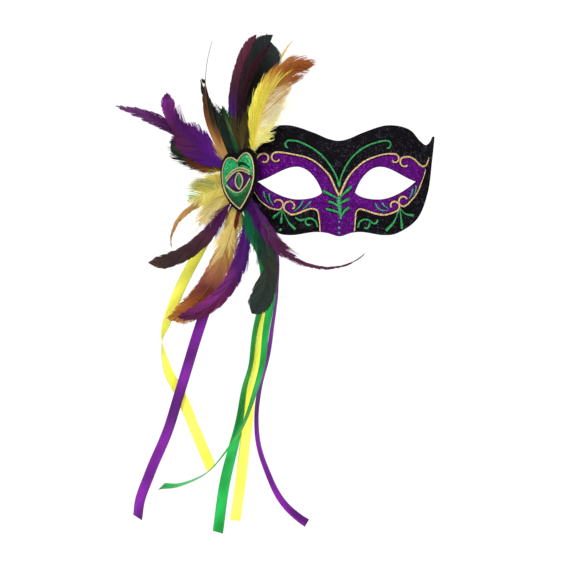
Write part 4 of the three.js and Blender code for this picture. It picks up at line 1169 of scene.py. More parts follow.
def make_badge():
    border = heart_outline(INNER_HEART, PANEL_SHIFT)
    backing = pad([heart_outline(OUTER_HEART, 0)], *PADS["heart_backing"])
    make_piece("felt_heart", *backing, BLACK_FELT, "felt", ["heart_backing"])
    panel = [moved_in(border, PANEL_INSET), almond(1.0)]
    make_cloth("glitter_heart", "heart_panel", panel, GREEN_CLOTH, "green_glitter", panel_painted_light)
    make_cloth("glitter_eye", "eye_panel", [almond(EYE_SHRINK)], VIOLET_CLOTH, "violet_glitter", eye_painted_light)
    make_cloth("glitter_pupil", "pupil", [pupil_outline(PUPIL)], GREEN_CLOTH, "green_glitter", pupil_painted_light)
    make_cord("heart_cord", border, BACK_TOP + SLIP + BORDER_R, BORDER_R, True)
    x = np.linspace(LID_STOP - EYE.half, EYE.half - LID_STOP, LID_STEPS)
    top, low = EYE.rise * lid_bow(x), -EYE.drop * lid_bow(x)
    level = PANEL_TOP + SLIP + LID_R
    make_cord("upper_lid_cord", on_eye(x, top + LID_RISE), level, LID_R)
    make_cord("lower_lid_cord", on_eye(x, low - LID_DROP), level, LID_R)
    make_cord("lid_fold_cord", on_eye(x * FOLD_SPREAD, top + FOLD_RISE), level, LID_R)
    make_cord("pupil_cord", pupil_outline(PUPIL_RING), PANEL_TOP + LID_R, LID_R, True)
    mark = resample(spline([*BROW_MARK, BROW_MARK[0]]), MARK_STEPS)[:-1]
    # Painted shadow: a dark green sliver in the crease above the eye's upper lid
    make_piece("painted_brow_shadow", *pad([mark], *PADS["painted_brow_shadow"]), BROW_SHADOW_FINISH, "felt")


make_badge()

# The hub keeps its own solid, with the felt's finish
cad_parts["feather_hub"].data.materials.clear()
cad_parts["feather_hub"].data.materials.append(BLACK_FELT)

# Feathers. Vane shapes: where along the vane it is widest, how blunt its tip is, the share of the shaft that
# it covers, and where it narrows, to which share of its width
SHAPE_COLUMNS = "peak blunt end slim share"
SHAPES = {
    "broad": (0.66, 5, 1, 1, 1),
    "round": (0.5, 4.5, 1, 1, 1),
    "coque": (0.5, 2.2, 1, 1, 1),
    "lobed": (0.5, 8, 1, 0.62, 0.8),
    "leaf": (0.6, 1.3, 1, 1, 1),
    "point": (0.3, 1.0, 1, 1, 1),
    "curled": (0.42, 12, 1, 0.49, 0.42),
    "whip": (0.22, 1.4, 1, 0.34, 0.34),
    "stripped": (0.4, 1.5, 0.68, 1, 1),
}
# Paths as in the part: each feather's layer below the hub's top, its angle there (seen from the front, 90
# up), how far it turns and how late, where the turn begins, its reach, bare stem, width, lean to the back
# and vane shape. The shapes of purple_broad, yellow_up, purple_down and purple_sweep differ a little from
# the part's.
PATH_COLUMNS = "name slot layer aim turn ease hold reach stem wide lean shape"
PATHS = [
    ("purple_broad", "purple", 1, 145, -60, 2.25, 25, 108, 24, 33, -0.15, "curled"),
    ("purple_point", "purple", 2, 140, 26, 1, 25, 136, 26, 14, -0.02, "leaf"),
    ("brown_quill", "orange", 0, 126, -54, 1, 15, 132, 22, 9, -0.2, "stripped"),
    ("ink_up", "ink", 2, 121, -17, 1, 15, 97, 22, 15, 0.15, "point"),
    ("green_up", "ink", 1, 110, -8, 1, 15, 66, 20, 15, -0.05, "coque"),
    ("burgundy_up", "burgundy", 3, 105.5, -45, 1, 15, 134, 20, 13.5, 0.16, "round"),
    ("burgundy_band", "burgundy", 1, 99, -54, 1.3, 15, 128, 20, 7, -0.26, "coque"),
    ("black_broad", "ink", 2, 89, -22, 1, 15, 131, 19, 29, 0.03, "broad"),
    ("yellow_up", "yellow", 0, 76.5, -93, 3.3, 15, 126, 16, 29, -0.4, "lobed"),
    ("beige_thin", "tan", 3, 87, -35.5, 1, 15, 133, 20, 8, 0.22, "point"),
    ("olive_left", "olive", 3, 151, -2, 1, 25, 74, 24, 31, 0.45, "broad"),
    ("yellow_left", "yellow", 2, 198, 6, 1, 25, 52, 14, 34, 0.1, "coque"),
    ("yellow_low", "yellow", 1, 222, 8, 1, 25, 54, 20, 18, 0.11, "coque"),
    ("tan_thin", "tan", 3, 204.7, 77, 2.07, 25, 95, 26, 6, 0.2, "point"),
    ("burgundy_left", "burgundy", 0, 238, -62, 1.7, 22, 118, 24, 15, -0.2, "round"),
    ("yellow_down", "yellow", 3, 252.7, -61, 2.85, 22, 148, 24, 24, 0.0, "round"),
    ("purple_down", "purple", 2, 268.8, -87, 1.66, 22, 152, 26, 13.4, -0.12, "round"),
    ("green_down", "ink", 1, 286.5, -60, 2, 26, 123, 24, 20, -0.2, "broad"),
    ("purple_sweep", "purple", 0, 289.5, 113, 1.47, 15, 150, 22, 14, -0.1, "whip"),
    ("burgundy_small", "burgundy", 0, 258, 4, 1, 15, 41, 22, 6, 0.0, "coque"),
]
# How loose each vane is, the share of it that is downy, how far its barbs rake forward, the share of its
# width where the barbs are hooked into a closed web, the width of its left and right half against the
# part's, how slowly it widens from the quill, and how much sooner the right half ends (below 0: the left)
LOOK_COLUMNS = "fray down rake web left right slow short"
LOOKS = {
    "purple_broad": (0.45, 0.05, 1.0, 0.78, 0.82, 0.95, 1, 0),
    "purple_point": (0.9, 0.0, 2.2, 0.35, 0.8, 0.8, 1, 0),
    "brown_quill": (0.1, 0.0, 2.2, 0.85, 1, 1, 1, 0),
    "ink_up": (0.45, 0.1, 1.5, 0.7, 1, 1, 1, 0),
    "green_up": (0.8, 0.25, 1.3, 0.45, 1, 1, 1, 0),
    "burgundy_up": (0.3, 0.1, 1.6, 0.84, 1, 1, 1, 0),
    "burgundy_band": (0.35, 0.0, 2.0, 0.7, 1, 1, 1, 0),
    "black_broad": (0.12, 0.1, 1.2, 0.92, 1, 1, 1, 0.06),
    "yellow_up": (0.85, 0.4, 1.6, 0.5, 0.85, 1, 1.6, 0),
    "beige_thin": (0.15, 0.0, 2.0, 0.8, 1, 1, 1, 0),
    "olive_left": (0.6, 0.2, 1.0, 0.75, 1, 1, 1, 0),
    "yellow_left": (1.0, 0.9, 0.9, 0.2, 1, 1, 1, 0),
    "yellow_low": (1.0, 0.9, 1.2, 0.1, 1, 1, 1, 0),
    "tan_thin": (0.6, 0.2, 2.4, 0.4, 1, 1, 1, 0),
    "burgundy_left": (0.45, 0.1, 1.6, 0.8, 0.88, 0.88, 1, 0),
    "yellow_down": (0.5, 0.3, 1.4, 0.74, 1, 0.8, 1.8, 0),
    "purple_down": (0.6, 0.2, 1.8, 0.7, 1, 1, 1, 0),
    "green_down": (0.3, 0.15, 1.3, 0.84, 1, 1, 1, 0),
    "purple_sweep": (1.0, 0.2, 2.2, 0.3, 0.85, 0.85, 1, 0),
    "burgundy_small": (0.4, 0.0, 1.5, 0.6, 0.65, 0.65, 1, 0),
}
# A dip in the edge of a right half: its place and spread along the vane, and its share of the width
DENT_COLUMNS = "place spread depth"
DENTS = {"green_down": (0.6, 0.1, 0.75)}
# Colours along each shaft, from the hub
SHAFTS = {
    "purple_broad": [(0, "3a0a60")], "purple_point": [(0, "3c1448")], "ink_up": [(0, "2a2620")],
    "green_up": [(0, "12301e")], "burgundy_up": [(0, "5a3040")], "burgundy_band": [(0, "22101a")],
    "black_broad": [(0, "101414")], "beige_thin": [(0, "d8c080")], "olive_left": [(0, "2a2e20")],
    "yellow_left": [(0, "e0d070")], "yellow_low": [(0, "e0d070")], "tan_thin": [(0, "b88a50")],
    "burgundy_left": [(0, "3a1420")], "yellow_down": [(0, "c8a058"), (0.6, "94602c")],
    "purple_down": [(0, "5a1a70")], "green_down": [(0, "14201a")], "purple_sweep": [(0, "4a1a44")],
    "burgundy_small": [(0, "4a1018")],
    "brown_quill": [(0, "c8a060"), (0.4, "6a4020"), (0.66, "5a3a28"), (0.72, "9a8478"), (1, "a89c94")],
    "yellow_up": [(0, "f0e060"), (0.5, "d8a850"), (0.8, "8a4a1c"), (1, "7a4016")],
}
# Dye along each feather from quill to tip, then where one half or its edge differs. Some stops are
# painted light, each marked where it stands.
DYES_AND_PAINTED_LIGHT = {
    "purple_broad": [(0.2, "5a0684"), (0.45, "4a056a"), (0.62, "4e0660"), (0.74, "460e48"), (0.84, "621a64"),
                     (0.93, "702274"), (1, "421246")],
    "purple_broad left": [(0.2, "500886"), (0.4, "4a0862"), (0.55, "55174e"), (0.7, "4c1246"),
                          (0.84, "641c68"), (0.93, "72247a"), (1, "421246")],
    "purple_point": [(0.2, "440a70"), (0.5, "44104c"), (0.75, "521c58"), (1, "6c3a70")],
    "brown_quill": [(0.15, "b88a4c"), (0.3, "7a5226"), (0.42, "2c2416"), (0.7, "181a16")],
    "brown_quill left": [(0.15, "c89a58"), (0.3, "a8743c"), (0.42, "6e3e1c"), (0.55, "4e2a12"),
                         (0.7, "3a2010")],
    "ink_up": [(0.2, "242c1a"), (0.45, "18221a"), (0.7, "121612"), (1, "101210")],
    "green_up": [(0.2, "143018"), (0.45, "0a5230"), (0.8, "094a2a"), (1, "0e2a1c")],
    "green_up left": [(0.2, "182618"), (0.6, "122018"), (1, "0e1812")],
    "burgundy_up": [(0.15, "3c0a5c"), (0.4, "460c70"), (0.55, "3c1038"), (0.75, "541a32"), (0.9, "6a2038"),
                    (1, "4c1c28")],
    "burgundy_up left": [(0.15, "40086a"), (0.45, "430a66"), (0.6, "42142c"), (0.8, "5a2036"), (1, "5a2034")],
    "burgundy_band": [(0.2, "1c0c14"), (0.5, "240b16"), (0.8, "320a1a"), (1, "2c0a18")],
    "black_broad": [(0.12, "4e4620"), (0.3, "322c15"), (0.45, "1c1c15"), (0.6, "121510"), (0.8, "131817"),
                    (1, "1c2224")],
    # Painted sheen: the lighter grey-blue towards the right edge is the gloss along the curve
    "black_broad right edge": [(0.5, "161a18"), (0.8, "202728"), (1, "2c3436")],
    "yellow_up": [(0.1, "f0e650"), (0.3, "ecd85a"), (0.45, "dcb45a"), (0.6, "c08a48"), (0.72, "98581f"),
                  (0.84, "86481a"), (1, "7c4016")],
    "yellow_up right edge": [(0.1, "f4f0a0"), (0.35, "f2eab0"), (0.55, "ecd9a0"), (0.7, "dcb068"),
                             (0.8, "a8622c"), (1, "8a4418")],
    "yellow_up left": [(0.1, "f0e438"), (0.45, "eee04a"), (0.6, "dcb850"), (0.7, "b4762c"), (0.8, "8c4a18"),
                       (1, "7c4016")],
    "yellow_up left edge": [(0.1, "efe45a"), (0.55, "ecdf62"), (0.68, "e0c050"), (0.76, "b07030"),
                            (1, "8a4418")],
    "beige_thin": [(0.2, "c8a860"), (0.8, "d8b878"), (1, "dcc48c")],
    "olive_left": [(0.2, "6a3010"), (0.35, "4a3212"), (0.55, "222a1b"), (0.8, "18221e"), (1, "1e2c26")],
    "yellow_left": [(0.1, "d8b048"), (0.3, "e6d24e"), (0.6, "dcd060"), (0.85, "b8c070"), (1, "8ab080")],
    "yellow_left left": [(0.1, "e8d84a"), (0.6, "e0d060"), (1, "d8c880")],
    "yellow_low": [(0.2, "dcc850"), (0.6, "d8c06a"), (1, "d0b888")],
    "tan_thin": [(0.2, "d8b07a"), (0.5, "c8965a"), (1, "a87440")],
    "burgundy_left": [(0.12, "4c0e5a"), (0.3, "501044"), (0.5, "43182a"), (0.7, "352024"), (0.9, "33231f"),
                      (1, "4a2c2e")],
    # The dark rusty stop at 0.68 is painted light: the purple ribbon behind, seen through the vane
    "yellow_down": [(0.12, "e6cc5c"), (0.3, "dcc05a"), (0.45, "b88a48"), (0.58, "a8684a"), (0.68, "6a2826"),
                    (0.8, "8a4418"), (0.92, "9e5c20"), (1, "b07c3a")],
    "purple_down": [(0.12, "400a7a"), (0.35, "4e0a66"), (0.55, "621262"), (0.75, "6e1c66"), (0.9, "621850"),
                    (1, "4c1040")],
    "purple_down left": [(0.12, "34087a"), (0.35, "3e0a62"), (0.55, "541052"), (0.75, "5a1442"),
                         (0.9, "4c1038"), (1, "441036")],
    "green_down": [(0.1, "0a7048"), (0.25, "0b5a3c"), (0.4, "123424"), (0.6, "24261d"), (0.85, "1e2a24"),
                   (1, "1c2924")],
    "purple_sweep": [(0.12, "40105e"), (0.3, "4c1454"), (0.5, "501a40"), (0.8, "54283e"), (1, "60384e")],
    "burgundy_small": [(0.3, "581020"), (1, "601418")],
}
# Loose tufts: their feather and side, where along it and over what spread, how many barbs, how long, at what
# angle to the shaft, how wide, and their colour
TUFT_COLUMNS = "feather side place spread count length angle width code"
TUFTS = [
    ("yellow_up", 1, 35, 7, 110, 23, 58, 0.5, "f6ee8c"),
    ("yellow_up", 1, 44, 8, 90, 24, 54, 0.32, "f4ecb0"),
    ("yellow_up", 1, 52, 14, 110, 30, 44, 0.26, "efe4b8"),
    ("yellow_up", 1, 68, 14, 90, 24, 38, 0.26, "e6d4a0"),
    ("yellow_up", -1, 46, 22, 240, 22, 18, 0.36, "ebdc50"),
    ("yellow_up", -1, 72, 16, 130, 20, 16, 0.32, "e8d65a"),
    ("brown_quill", -1, 94, 2, 60, 4, 70, 0.45, "161816"),
    ("brown_quill", -1, 20, 9, 90, 18, 16, 0.4, "c49a58"),
    ("burgundy_band", -1, 26, 10, 140, 26, 14, 0.36, "463c1e"),
    ("burgundy_band", 1, 24, 12, 220, 30, 12, 0.36, "4e4420"),
    ("burgundy_band", -1, 24, 8, 22, 30, 8, 0.3, "8e7c42"),
    ("black_broad", -1, 34, 14, 80, 26, 16, 0.34, "332e16"),
    ("purple_broad", 1, 66, 22, 160, 16, 38, 0.32, "4a0e5c"),
    ("olive_left", -1, 36, 16, 200, 22, 30, 0.45, "5c3214"),
    ("olive_left", -1, 46, 18, 140, 22, 26, 0.36, "34442a"),
    ("olive_left", -1, 26, 8, 180, 24, 30, 0.5, "6a3418"),
    ("yellow_left", 1, 22, 9, 120, 20, 46, 0.3, "8fae7c"),
    ("yellow_left", 1, 16, 7, 90, 16, 55, 0.34, "b08a34"),
    ("yellow_left", -1, 28, 10, 200, 22, 50, 0.4, "e4d66a"),
    ("yellow_left", 1, 26, 10, 160, 18, 40, 0.4, "dcc850"),
    ("yellow_left", 1, 24, 10, 160, 26, 40, 0.36, "a4a45c"),
    ("yellow_left", 1, 18, 11, 240, 17, 72, 0.5, "e2d058"),
    ("yellow_left", 1, 27, 8, 80, 19, 60, 0.3, "7fa070"),
    ("yellow_low", -1, 36, 12, 50, 26, 20, 0.3, "d8c48a"),
    ("yellow_low", 1, 30, 12, 50, 24, 20, 0.3, "dccb84"),
    ("yellow_down", 1, 22, 6, 200, 20, 34, 0.7, "e2c86a"),
    ("yellow_down", -1, 24, 6, 140, 18, 26, 0.7, "e2c86a"),
    ("yellow_down", 1, 38, 12, 260, 20, 26, 0.6, "e6cf78"),
    ("yellow_down", 1, 56, 12, 160, 18, 22, 0.4, "dcc47c"),
    ("yellow_down", -1, 40, 14, 200, 18, 24, 0.5, "e4cc70"),
    ("purple_down", -1, 70, 24, 120, 12, 30, 0.3, "4c1060"),
    ("purple_down", 1, 52, 18, 180, 18, 24, 0.4, "4e0e6e"),
    ("purple_down", -1, 52, 18, 180, 20, 22, 0.4, "460e70"),
    ("green_down", 1, 12, 6, 160, 17, 42, 0.6, "0b6a44"),
    ("green_down", 1, 24, 8, 320, 24, 50, 0.7, "0b6a44"),
    ("green_down", 1, 36, 10, 160, 20, 30, 0.5, "0d5238"),
    ("green_down", -1, 34, 14, 200, 18, 24, 0.5, "0b5c3e"),
    ("green_down", 1, 50, 12, 160, 24, 14, 0.45, "14382a"),
    ("purple_sweep", 1, 14, 6, 140, 15, 32, 0.6, "46105e"),
    ("purple_sweep", 1, 24, 10, 180, 16, 30, 0.6, "46105e"),
    ("purple_sweep", -1, 50, 20, 110, 18, 20, 0.32, "501a3e"),
    ("purple_sweep", 1, 64, 18, 70, 18, 14, 0.32, "4e1a3c"),
    ("ink_up", 1, 34, 16, 50, 18, 22, 0.3, "545e4a"),
    ("green_up", -1, 52, 10, 60, 14, 24, 0.34, "16241c"),
    ("burgundy_left", 1, 34, 14, 120, 14, 30, 0.34, "4a1050"),
    ("burgundy_left", -1, 32, 12, 180, 16, 24, 0.5, "4a0f4c"),
]
# Spines: how soon a feather's own lean takes over from the hub's slope, the step, how far they run on past
# the tip for the sake of long barbs, and the run in which the vane turns from the hub's facing to the viewer
BEND_RATE = 2.4
SPINE_STEP = 0.5
PAST_TIP = 24
FACING_RUN = 60
# Vanes: their start as a share of the bare stem, points along an edge, their cupping against the width, and
# the share of the length in which they narrow
VANE_START = 0.62
EDGE_POINTS = 600
CUP = 0.06
NARROWING = 0.2
# Barbs: pitch along the vane's edge, width and its range, and mesh steps
BARB_PITCH = 0.32
BARB_WIDTH = 0.72
BARB_WIDTHS = (0.75, 1.2)
BARB_STEPS = 7
# A barb's course, as powers of the way along it: up the shaft, out from it, its stray, and its lift
COURSE = SimpleNamespace(up=1.15, out=1.35, stray=2, lift=1.5)
# Its waves, the range of its tilt in radians, and its width: narrow at the root, full soon after, thin at
# the tip. A loose barb (taper 1) loses more of it, and sooner.
WAVES = SimpleNamespace(rate=7, shift=5)
BARB_TILT = (-0.15, 0.5)
BARB_ROOT = SimpleNamespace(width=0.55, gain=0.45, rate=6)
BARB_TIP = SimpleNamespace(loss=0.5, loose_loss=0.4, late=4, loose_sooner=2)
# In a vane: the least reach out, how much more barbs rake towards the tip, how far down the stem they may
# start, the share in which down goes over into vane, and how much thinner downy barbs are
LEAST_OUT = 0.3
RAKE_GROWTH = 0.8
ROOT_LIMIT = 0.7
DOWN_RUN = 0.2
DOWN_THINNING = 0.5
# Locks of a vane: mean width when loose, what a tight vane adds, and how far their barbs are drawn together
VANE_LOCK = SimpleNamespace(loose=2.2, tight=3.5, draw=0.75)
# The spread of each random stray: in a tight vane, and what looseness and down add. A lock shares some.
STRAYS = {
    "lock sway": (0.25, 1.4, 0), "stray": (0.1, 0.5, 2.5),
    "lock lift": (0.25, 0.5, 0), "lift": (0.12, 0, 1.6),
    "wave": (0.05, 0.08, 0.5), "reach": (0.02, 0.08, 0.12),
    "lock tone": (0.1, 0, 0), "tone": (0.14, 0, 0),
}
# Webs: columns, the painted shade on them against the barbs (their colour darkened, as they lie under
# the barbs), how far short of the tip they stop, the run in which they widen, the share they start
# from, and how far they lie under the barbs
WEB_COLUMNS = 15
WEB_SHADE = 0.8
WEB_STOP = 0.6
WEB_RUN = 14
WEB_FIRST = 0.15
WEB_DROP = 0.2
# Tufts: the fan of their angles in degrees, ranges of length and width, the mean lift, and spreads of strays
TUFT_FAN = 9
TUFT_LENGTHS = (0.55, 1.1)
TUFT_WIDTHS = (0.7, 1.2)
TUFT_LIFT = 0.3
TUFT_STRAY = SimpleNamespace(along=1.2, lift=1.0, wave=0.35, tone=0.12)
# Locks of a tuft: barbs in each, the fewest locks, and how near their barbs come to one tip
LOCK_BARBS = 12
LEAST_LOCKS = 8
LOCK_PULL = 0.85
# Shafts: mesh sides and steps, how evenly they thin out, and the share of the reach that they cover and of
# the thickness that they lose, with a vane to the tip or bare there
SHAFT_SIDES = 6
SHAFT_STEPS = 90
SHAFT_TAPER = 0.7
SHAFT = SimpleNamespace(cover=0.97, loss=0.78)
BARE_SHAFT = SimpleNamespace(cover=1, loss=0.5)
# How close to the edge the edge's colour keeps, and the shade of barbs at the root and what they
# gain to the tip
EDGE_MIX = 1.5
ROOT_SHADE = 0.86
TIP_LIGHT = 0.2


class Spine:
    """A feather's middle line from the hub, with its sideways and facing directions."""

    def __init__(self, row):
        self.s = np.arange(0, row.reach + PAST_TIP, SPINE_STEP)
        middle = self.s + SPINE_STEP / 2
        t = np.clip((middle - row.hold) / (row.reach - row.hold), 0, 1)
        angle = np.radians(row.aim + row.turn * t**row.ease)
        blend = smooth(t * BEND_RATE)
        deepen = (1 - blend) * SLOPE * np.cos(angle) + blend * row.lean
        steps = stack(np.cos(angle), deepen, np.sin(angle)) * SPINE_STEP
        height = HUB_HEIGHT - LAYER_MARGIN - QUILL / 2 - row.layer * LAYER_PITCH
        start = seat(row.aim, height, SLIP)
        self.points = start + np.vstack([np.zeros(3), np.cumsum(steps, axis=0)[:-1]])
        along = unit(np.gradient(self.points, axis=0))
        turned = ease(self.s, row.hold, FACING_RUN)[:, None]
        facing = AXIS * (1 - turned) + np.array([0, -1, 0]) * turned
        self.sideways = unit(np.cross(along, facing))
        self.normal = np.cross(self.sideways, along)

    def at(self, s):
        """Point, sideways and normal at distances along the spine, of any array shape."""
        picked = []
        for field in (self.points, self.sideways, self.normal):
            picked.append(np.stack([np.interp(s, self.s, field[:, i]) for i in range(3)], axis=-1))
        return picked


def shape_of(row):
    return named(SHAPE_COLUMNS, SHAPES[row.shape])


def vane_end(row, look, side):
    """Where one half of the vane ends along the spine."""
    stem = VANE_START * row.stem
    return stem + (row.reach - stem) * shape_of(row).end * (1 - max(0, side * look.short))


def half_width(row, look, s, side):
    """How far one half of the vane reaches out, at distances along the spine."""
    shape = shape_of(row)
    stem = VANE_START * row.stem
    t = np.clip((s - stem) / (vane_end(row, look, side) - stem), 0, 1)
    wide = row.wide / 2 * (look.left if side < 0 else look.right)
    wide = wide * (1 - (1 - shape.share) * ease(t, shape.slim, NARROWING))
    if side > 0 and row.name in DENTS:
        dent = named(DENT_COLUMNS, DENTS[row.name])
        wide = wide * (1 - dent.depth * bump((t - dent.place) / dent.spread))
    rising = np.sin(math.pi / 2 * np.minimum(t / shape.peak, 1)) ** look.slow
    falling = np.cos(math.pi / 2 * np.clip((t - shape.peak) / (1 - shape.peak), 0, 1) ** shape.blunt)
    return wide * np.where(t < shape.peak, rising, falling)


def colour_at(stops, share):
    """Colours at shares of the length, between a colour table's stops."""
    places = [place for place, _ in stops]
    colours = np.array([linear(code) for _, code in stops])
    return np.stack([np.interp(share, places, colours[:, i]) for i in range(3)], axis=-1)


def barbs(spine, side, root, tip, out, width, loose, cup, taper):
    """Strips from root to tip along the shaft and out from it. loose is each barb's (stray, lift, wave)."""
    t = np.linspace(0, 1, BARB_STEPS)
    count = len(root)
    stray, lift, wave = (some[:, None] for some in loose)
    s = root[:, None] + (tip - root)[:, None] * t**COURSE.up + stray * t**COURSE.stray
    off = out[:, None] * (1 - (1 - t) ** COURSE.out)
    point, sideways, normal = spine.at(np.clip(s, 0, spine.s[-1]))
    swing = wave * np.sin(t * WAVES.rate + WAVES.shift * wave + root[:, None]) * t
    raised = lift * t**COURSE.lift - cup * (off / max(out.max(), 1)) ** 2
    middle = point + sideways * (side * off + swing)[..., None] + normal * raised[..., None]
    along = unit(np.gradient(middle, axis=1))
    tilt = random.uniform(*BARB_TILT, count)[:, None, None]
    flat = unit(np.cross(normal, along))
    strip = flat * np.cos(tilt) + normal * np.sin(tilt) * side
    loss = BARB_TIP.loss + BARB_TIP.loose_loss * taper
    thinning = 1 - loss * t ** (BARB_TIP.late - BARB_TIP.loose_sooner * taper)
    filling = BARB_ROOT.width + BARB_ROOT.gain * smooth(t * BARB_ROOT.rate)
    half = width[:, None] / 2 * thinning * filling
    left = middle - strip * half[..., None]
    right = middle + strip * half[..., None]
    points = np.stack([left, right], axis=2).reshape(-1, 3)
    base = np.arange(count)[:, None] * BARB_STEPS * 2 + np.arange(BARB_STEPS - 1) * 2
    quads = np.stack([base, base + 1, base + 3, base + 2], axis=-1).reshape(-1, 4)
    return points, quads, np.repeat(s, 2, axis=1).ravel(), np.tile(np.repeat(t, 2), count)


def strays(kind, look, count, downy=0):
    """Random strays of one kind about 0."""
    tight, fray, down = STRAYS[kind]
    return random.normal(0, tight + fray * look.fray + down * downy, count)


def vane_barbs(row, look, spine, side):
    """The barbs of one side, spaced evenly along the vane's edge and gathered into locks."""
    stem = VANE_START * row.stem
    end = vane_end(row, look, side)
    s = np.linspace(stem, end, EDGE_POINTS)
    edge = np.column_stack([s, half_width(row, look, s, side)])
    count = int(length_of(edge) / BARB_PITCH)
    tip, out = resample(edge, count).T
    out = np.maximum(out, LEAST_OUT)
    share = (tip - stem) / (end - stem)
    root = np.maximum(tip - look.rake * out * (1 + RAKE_GROWTH * share), ROOT_LIMIT * stem)
    bounds = np.cumsum(random.exponential(VANE_LOCK.loose + VANE_LOCK.tight * (1 - look.fray), count))
    lock = np.searchsorted(bounds, np.arange(count) * BARB_PITCH)
    locks = lock.max() + 1
    middle = np.bincount(lock, tip) / np.maximum(np.bincount(lock), 1)
    pull = look.fray * VANE_LOCK.draw * (middle[lock] - tip)
    sway = strays("lock sway", look, locks)[lock]
    downy = smooth((look.down - share) / DOWN_RUN) if look.down else np.zeros(count)
    stray = pull + sway + strays("stray", look, count, downy)
    lift = strays("lock lift", look, locks)[lock] + strays("lift", look, count, downy)
    wave = strays("wave", look, count, downy)
    out = out * (1 + strays("reach", look, count, downy))
    width = BARB_WIDTH * (1 - DOWN_THINNING * downy) * random.uniform(*BARB_WIDTHS, count)
    tone = strays("lock tone", look, locks)[lock] + strays("tone", look, count)
    made = barbs(spine, side, root, tip, out, width, (stray, lift, wave), CUP * row.wide, look.fray)
    return *made, tone


def closed_web(row, look, spine):
    """The part of both vanes where the barbs are hooked together, as one thin sheet just under them."""
    stem = VANE_START * row.stem
    end = max(vane_end(row, look, -1), vane_end(row, look, 1))
    s = np.linspace(stem + look.down * (end - stem), end - WEB_STOP, int(end - stem))
    spread = np.linspace(-1, 1, WEB_COLUMNS)
    left_half, right_half = half_width(row, look, s, -1), half_width(row, look, s, 1)
    half = np.where(spread < 0, left_half[:, None], right_half[:, None])
    off = spread * half * look.web * smooth((s - s[0]) / WEB_RUN + WEB_FIRST)[:, None]
    sag = -WEB_DROP - CUP * row.wide * (off / max(half.max(), 1)) ** 2
    point, sideways, normal = spine.at(s)
    points = point[:, None] + sideways[:, None] * off[..., None] + normal[:, None] * sag[..., None]
    base = np.arange(len(s) - 1)[:, None] * WEB_COLUMNS + np.arange(WEB_COLUMNS - 1)
    quads = np.stack([base, base + 1, base + WEB_COLUMNS + 1, base + WEB_COLUMNS], axis=-1).reshape(-1, 4)
    return points.reshape(-1, 3), quads, np.repeat(s, WEB_COLUMNS), np.tile(spread, len(s))


def tuft_barbs(tuft, spine):
    """The barbs of a tuft, gathered into locks at their tips."""
    angle = np.radians(random.normal(tuft.angle, TUFT_FAN, tuft.count))
    long = tuft.length * random.uniform(*TUFT_LENGTHS, tuft.count)
    root = tuft.place + random.uniform(-1, 1, tuft.count) * tuft.spread
    tip = root + long * np.cos(angle)
    out = long * np.sin(angle)
    lock = np.arange(tuft.count) % max(LEAST_LOCKS, tuft.count // LOCK_BARBS)
    tip, out = (far + LOCK_PULL * (far[lock] - far) for far in (tip, out))
    stray = random.normal(0, TUFT_STRAY.along, tuft.count)
    lift = random.normal(TUFT_LIFT, TUFT_STRAY.lift, tuft.count)
    wave = random.normal(0, TUFT_STRAY.wave, tuft.count)
    width = tuft.width * random.uniform(*TUFT_WIDTHS, tuft.count)
    made = barbs(spine, tuft.side, root, tip, out, width, (stray, lift, wave), 0, 1)
    return *made, random.normal(0, TUFT_STRAY.tone, tuft.count)


def shaft_tube(row, spine):
    size = BARE_SHAFT if row.shape == "stripped" else SHAFT
    s = np.linspace(0, row.reach * size.cover, SHAFT_STEPS)
    point, sideways, normal = spine.at(s)
    radius = QUILL / 2 * (1 - size.loss * (s / row.reach) ** SHAFT_TAPER)
    angle = np.linspace(0, 2 * math.pi, SHAFT_SIDES, endpoint=False)
    ring = sideways[:, None] * np.cos(angle)[:, None] + normal[:, None] * np.sin(angle)[:, None]
    points, faces = sweep(point[:, None] + ring * radius[:, None, None])
    return points, faces, np.repeat(s, SHAFT_SIDES)


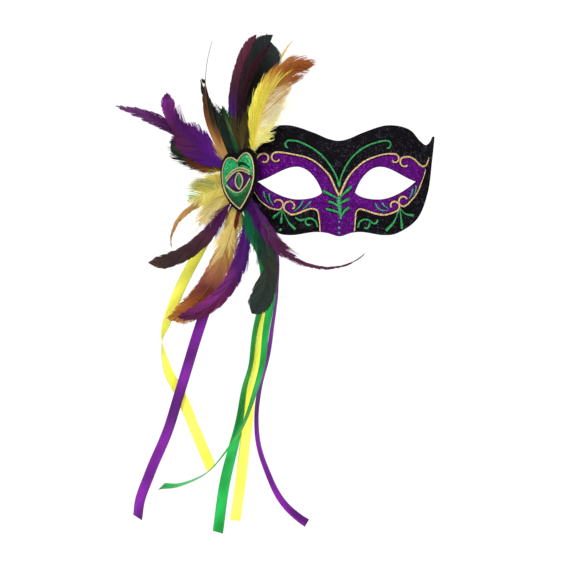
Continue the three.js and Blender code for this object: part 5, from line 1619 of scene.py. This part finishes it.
def half_colour(name, side, share, out):
    """Dye and painted light on one half of a feather, from its shaft (out 0) to its edge (out 1)."""
    half = "left" if side < 0 else "right"
    near = DYES_AND_PAINTED_LIGHT.get(f"{name} {half}", DYES_AND_PAINTED_LIGHT[name])
    edge = DYES_AND_PAINTED_LIGHT.get(f"{name} {half} edge", near)
    mix = (out**EDGE_MIX)[:, None]
    return colour_at(near, share) * (1 - mix) + colour_at(edge, share) * mix


def make_feather(row):
    """A feather as one piece: its shaft, its closed web, the barbs of both halves, and its tufts."""
    look = named(LOOK_COLUMNS, LOOKS[row.name])
    spine = Spine(row)
    shaft, faces, s = shaft_tube(row, spine)
    shaft_dye = colour_at(SHAFTS[row.name], s / row.reach)
    web, quads, s, spread = closed_web(row, look, spine)
    left_colour = half_colour(row.name, -1, s / row.reach, np.abs(spread))
    right_colour = half_colour(row.name, 1, s / row.reach, np.abs(spread))
    # Painted shade: the web's colour darkened under the barbs
    web_colour = WEB_SHADE * np.where(spread[:, None] < 0, left_colour, right_colour)
    all_points = [shaft, web]
    all_faces = [*faces, *(quads + len(shaft)).tolist()]
    colours = [shaft_dye, web_colour]
    sets = []
    for side in (-1, 1):
        points, quads, s, t, tone = vane_barbs(row, look, spine, side)
        sets.append((points, quads, t, tone, half_colour(row.name, side, s / row.reach, t)))
    for tuft in (named(TUFT_COLUMNS, cells) for cells in TUFTS):
        if tuft.feather == row.name:
            points, quads, s, t, tone = tuft_barbs(tuft, spine)
            sets.append((points, quads, t, tone, np.tile(linear(tuft.code), (len(points), 1))))
    start = len(shaft) + len(web)
    for points, quads, t, tone, dye in sets:
        all_points.append(points)
        all_faces += (quads + start).tolist()
        start += len(points)
        shade = np.exp(np.repeat(tone, 2 * BARB_STEPS)) * (ROOT_SHADE + TIP_LIGHT * t)
        colours.append(dye * shade[:, None])
    make_piece(
        f"plume_{row.name}", np.vstack(all_points), all_faces, FEATHER_FINISH, f"{row.slot}_plume",
        [f"feather_{row.name}"], closed=False, values={"dye": np.clip(np.vstack(colours), 0, 1)},
    )


for feather_cells in PATHS:
    make_feather(named(PATH_COLUMNS, feather_cells))
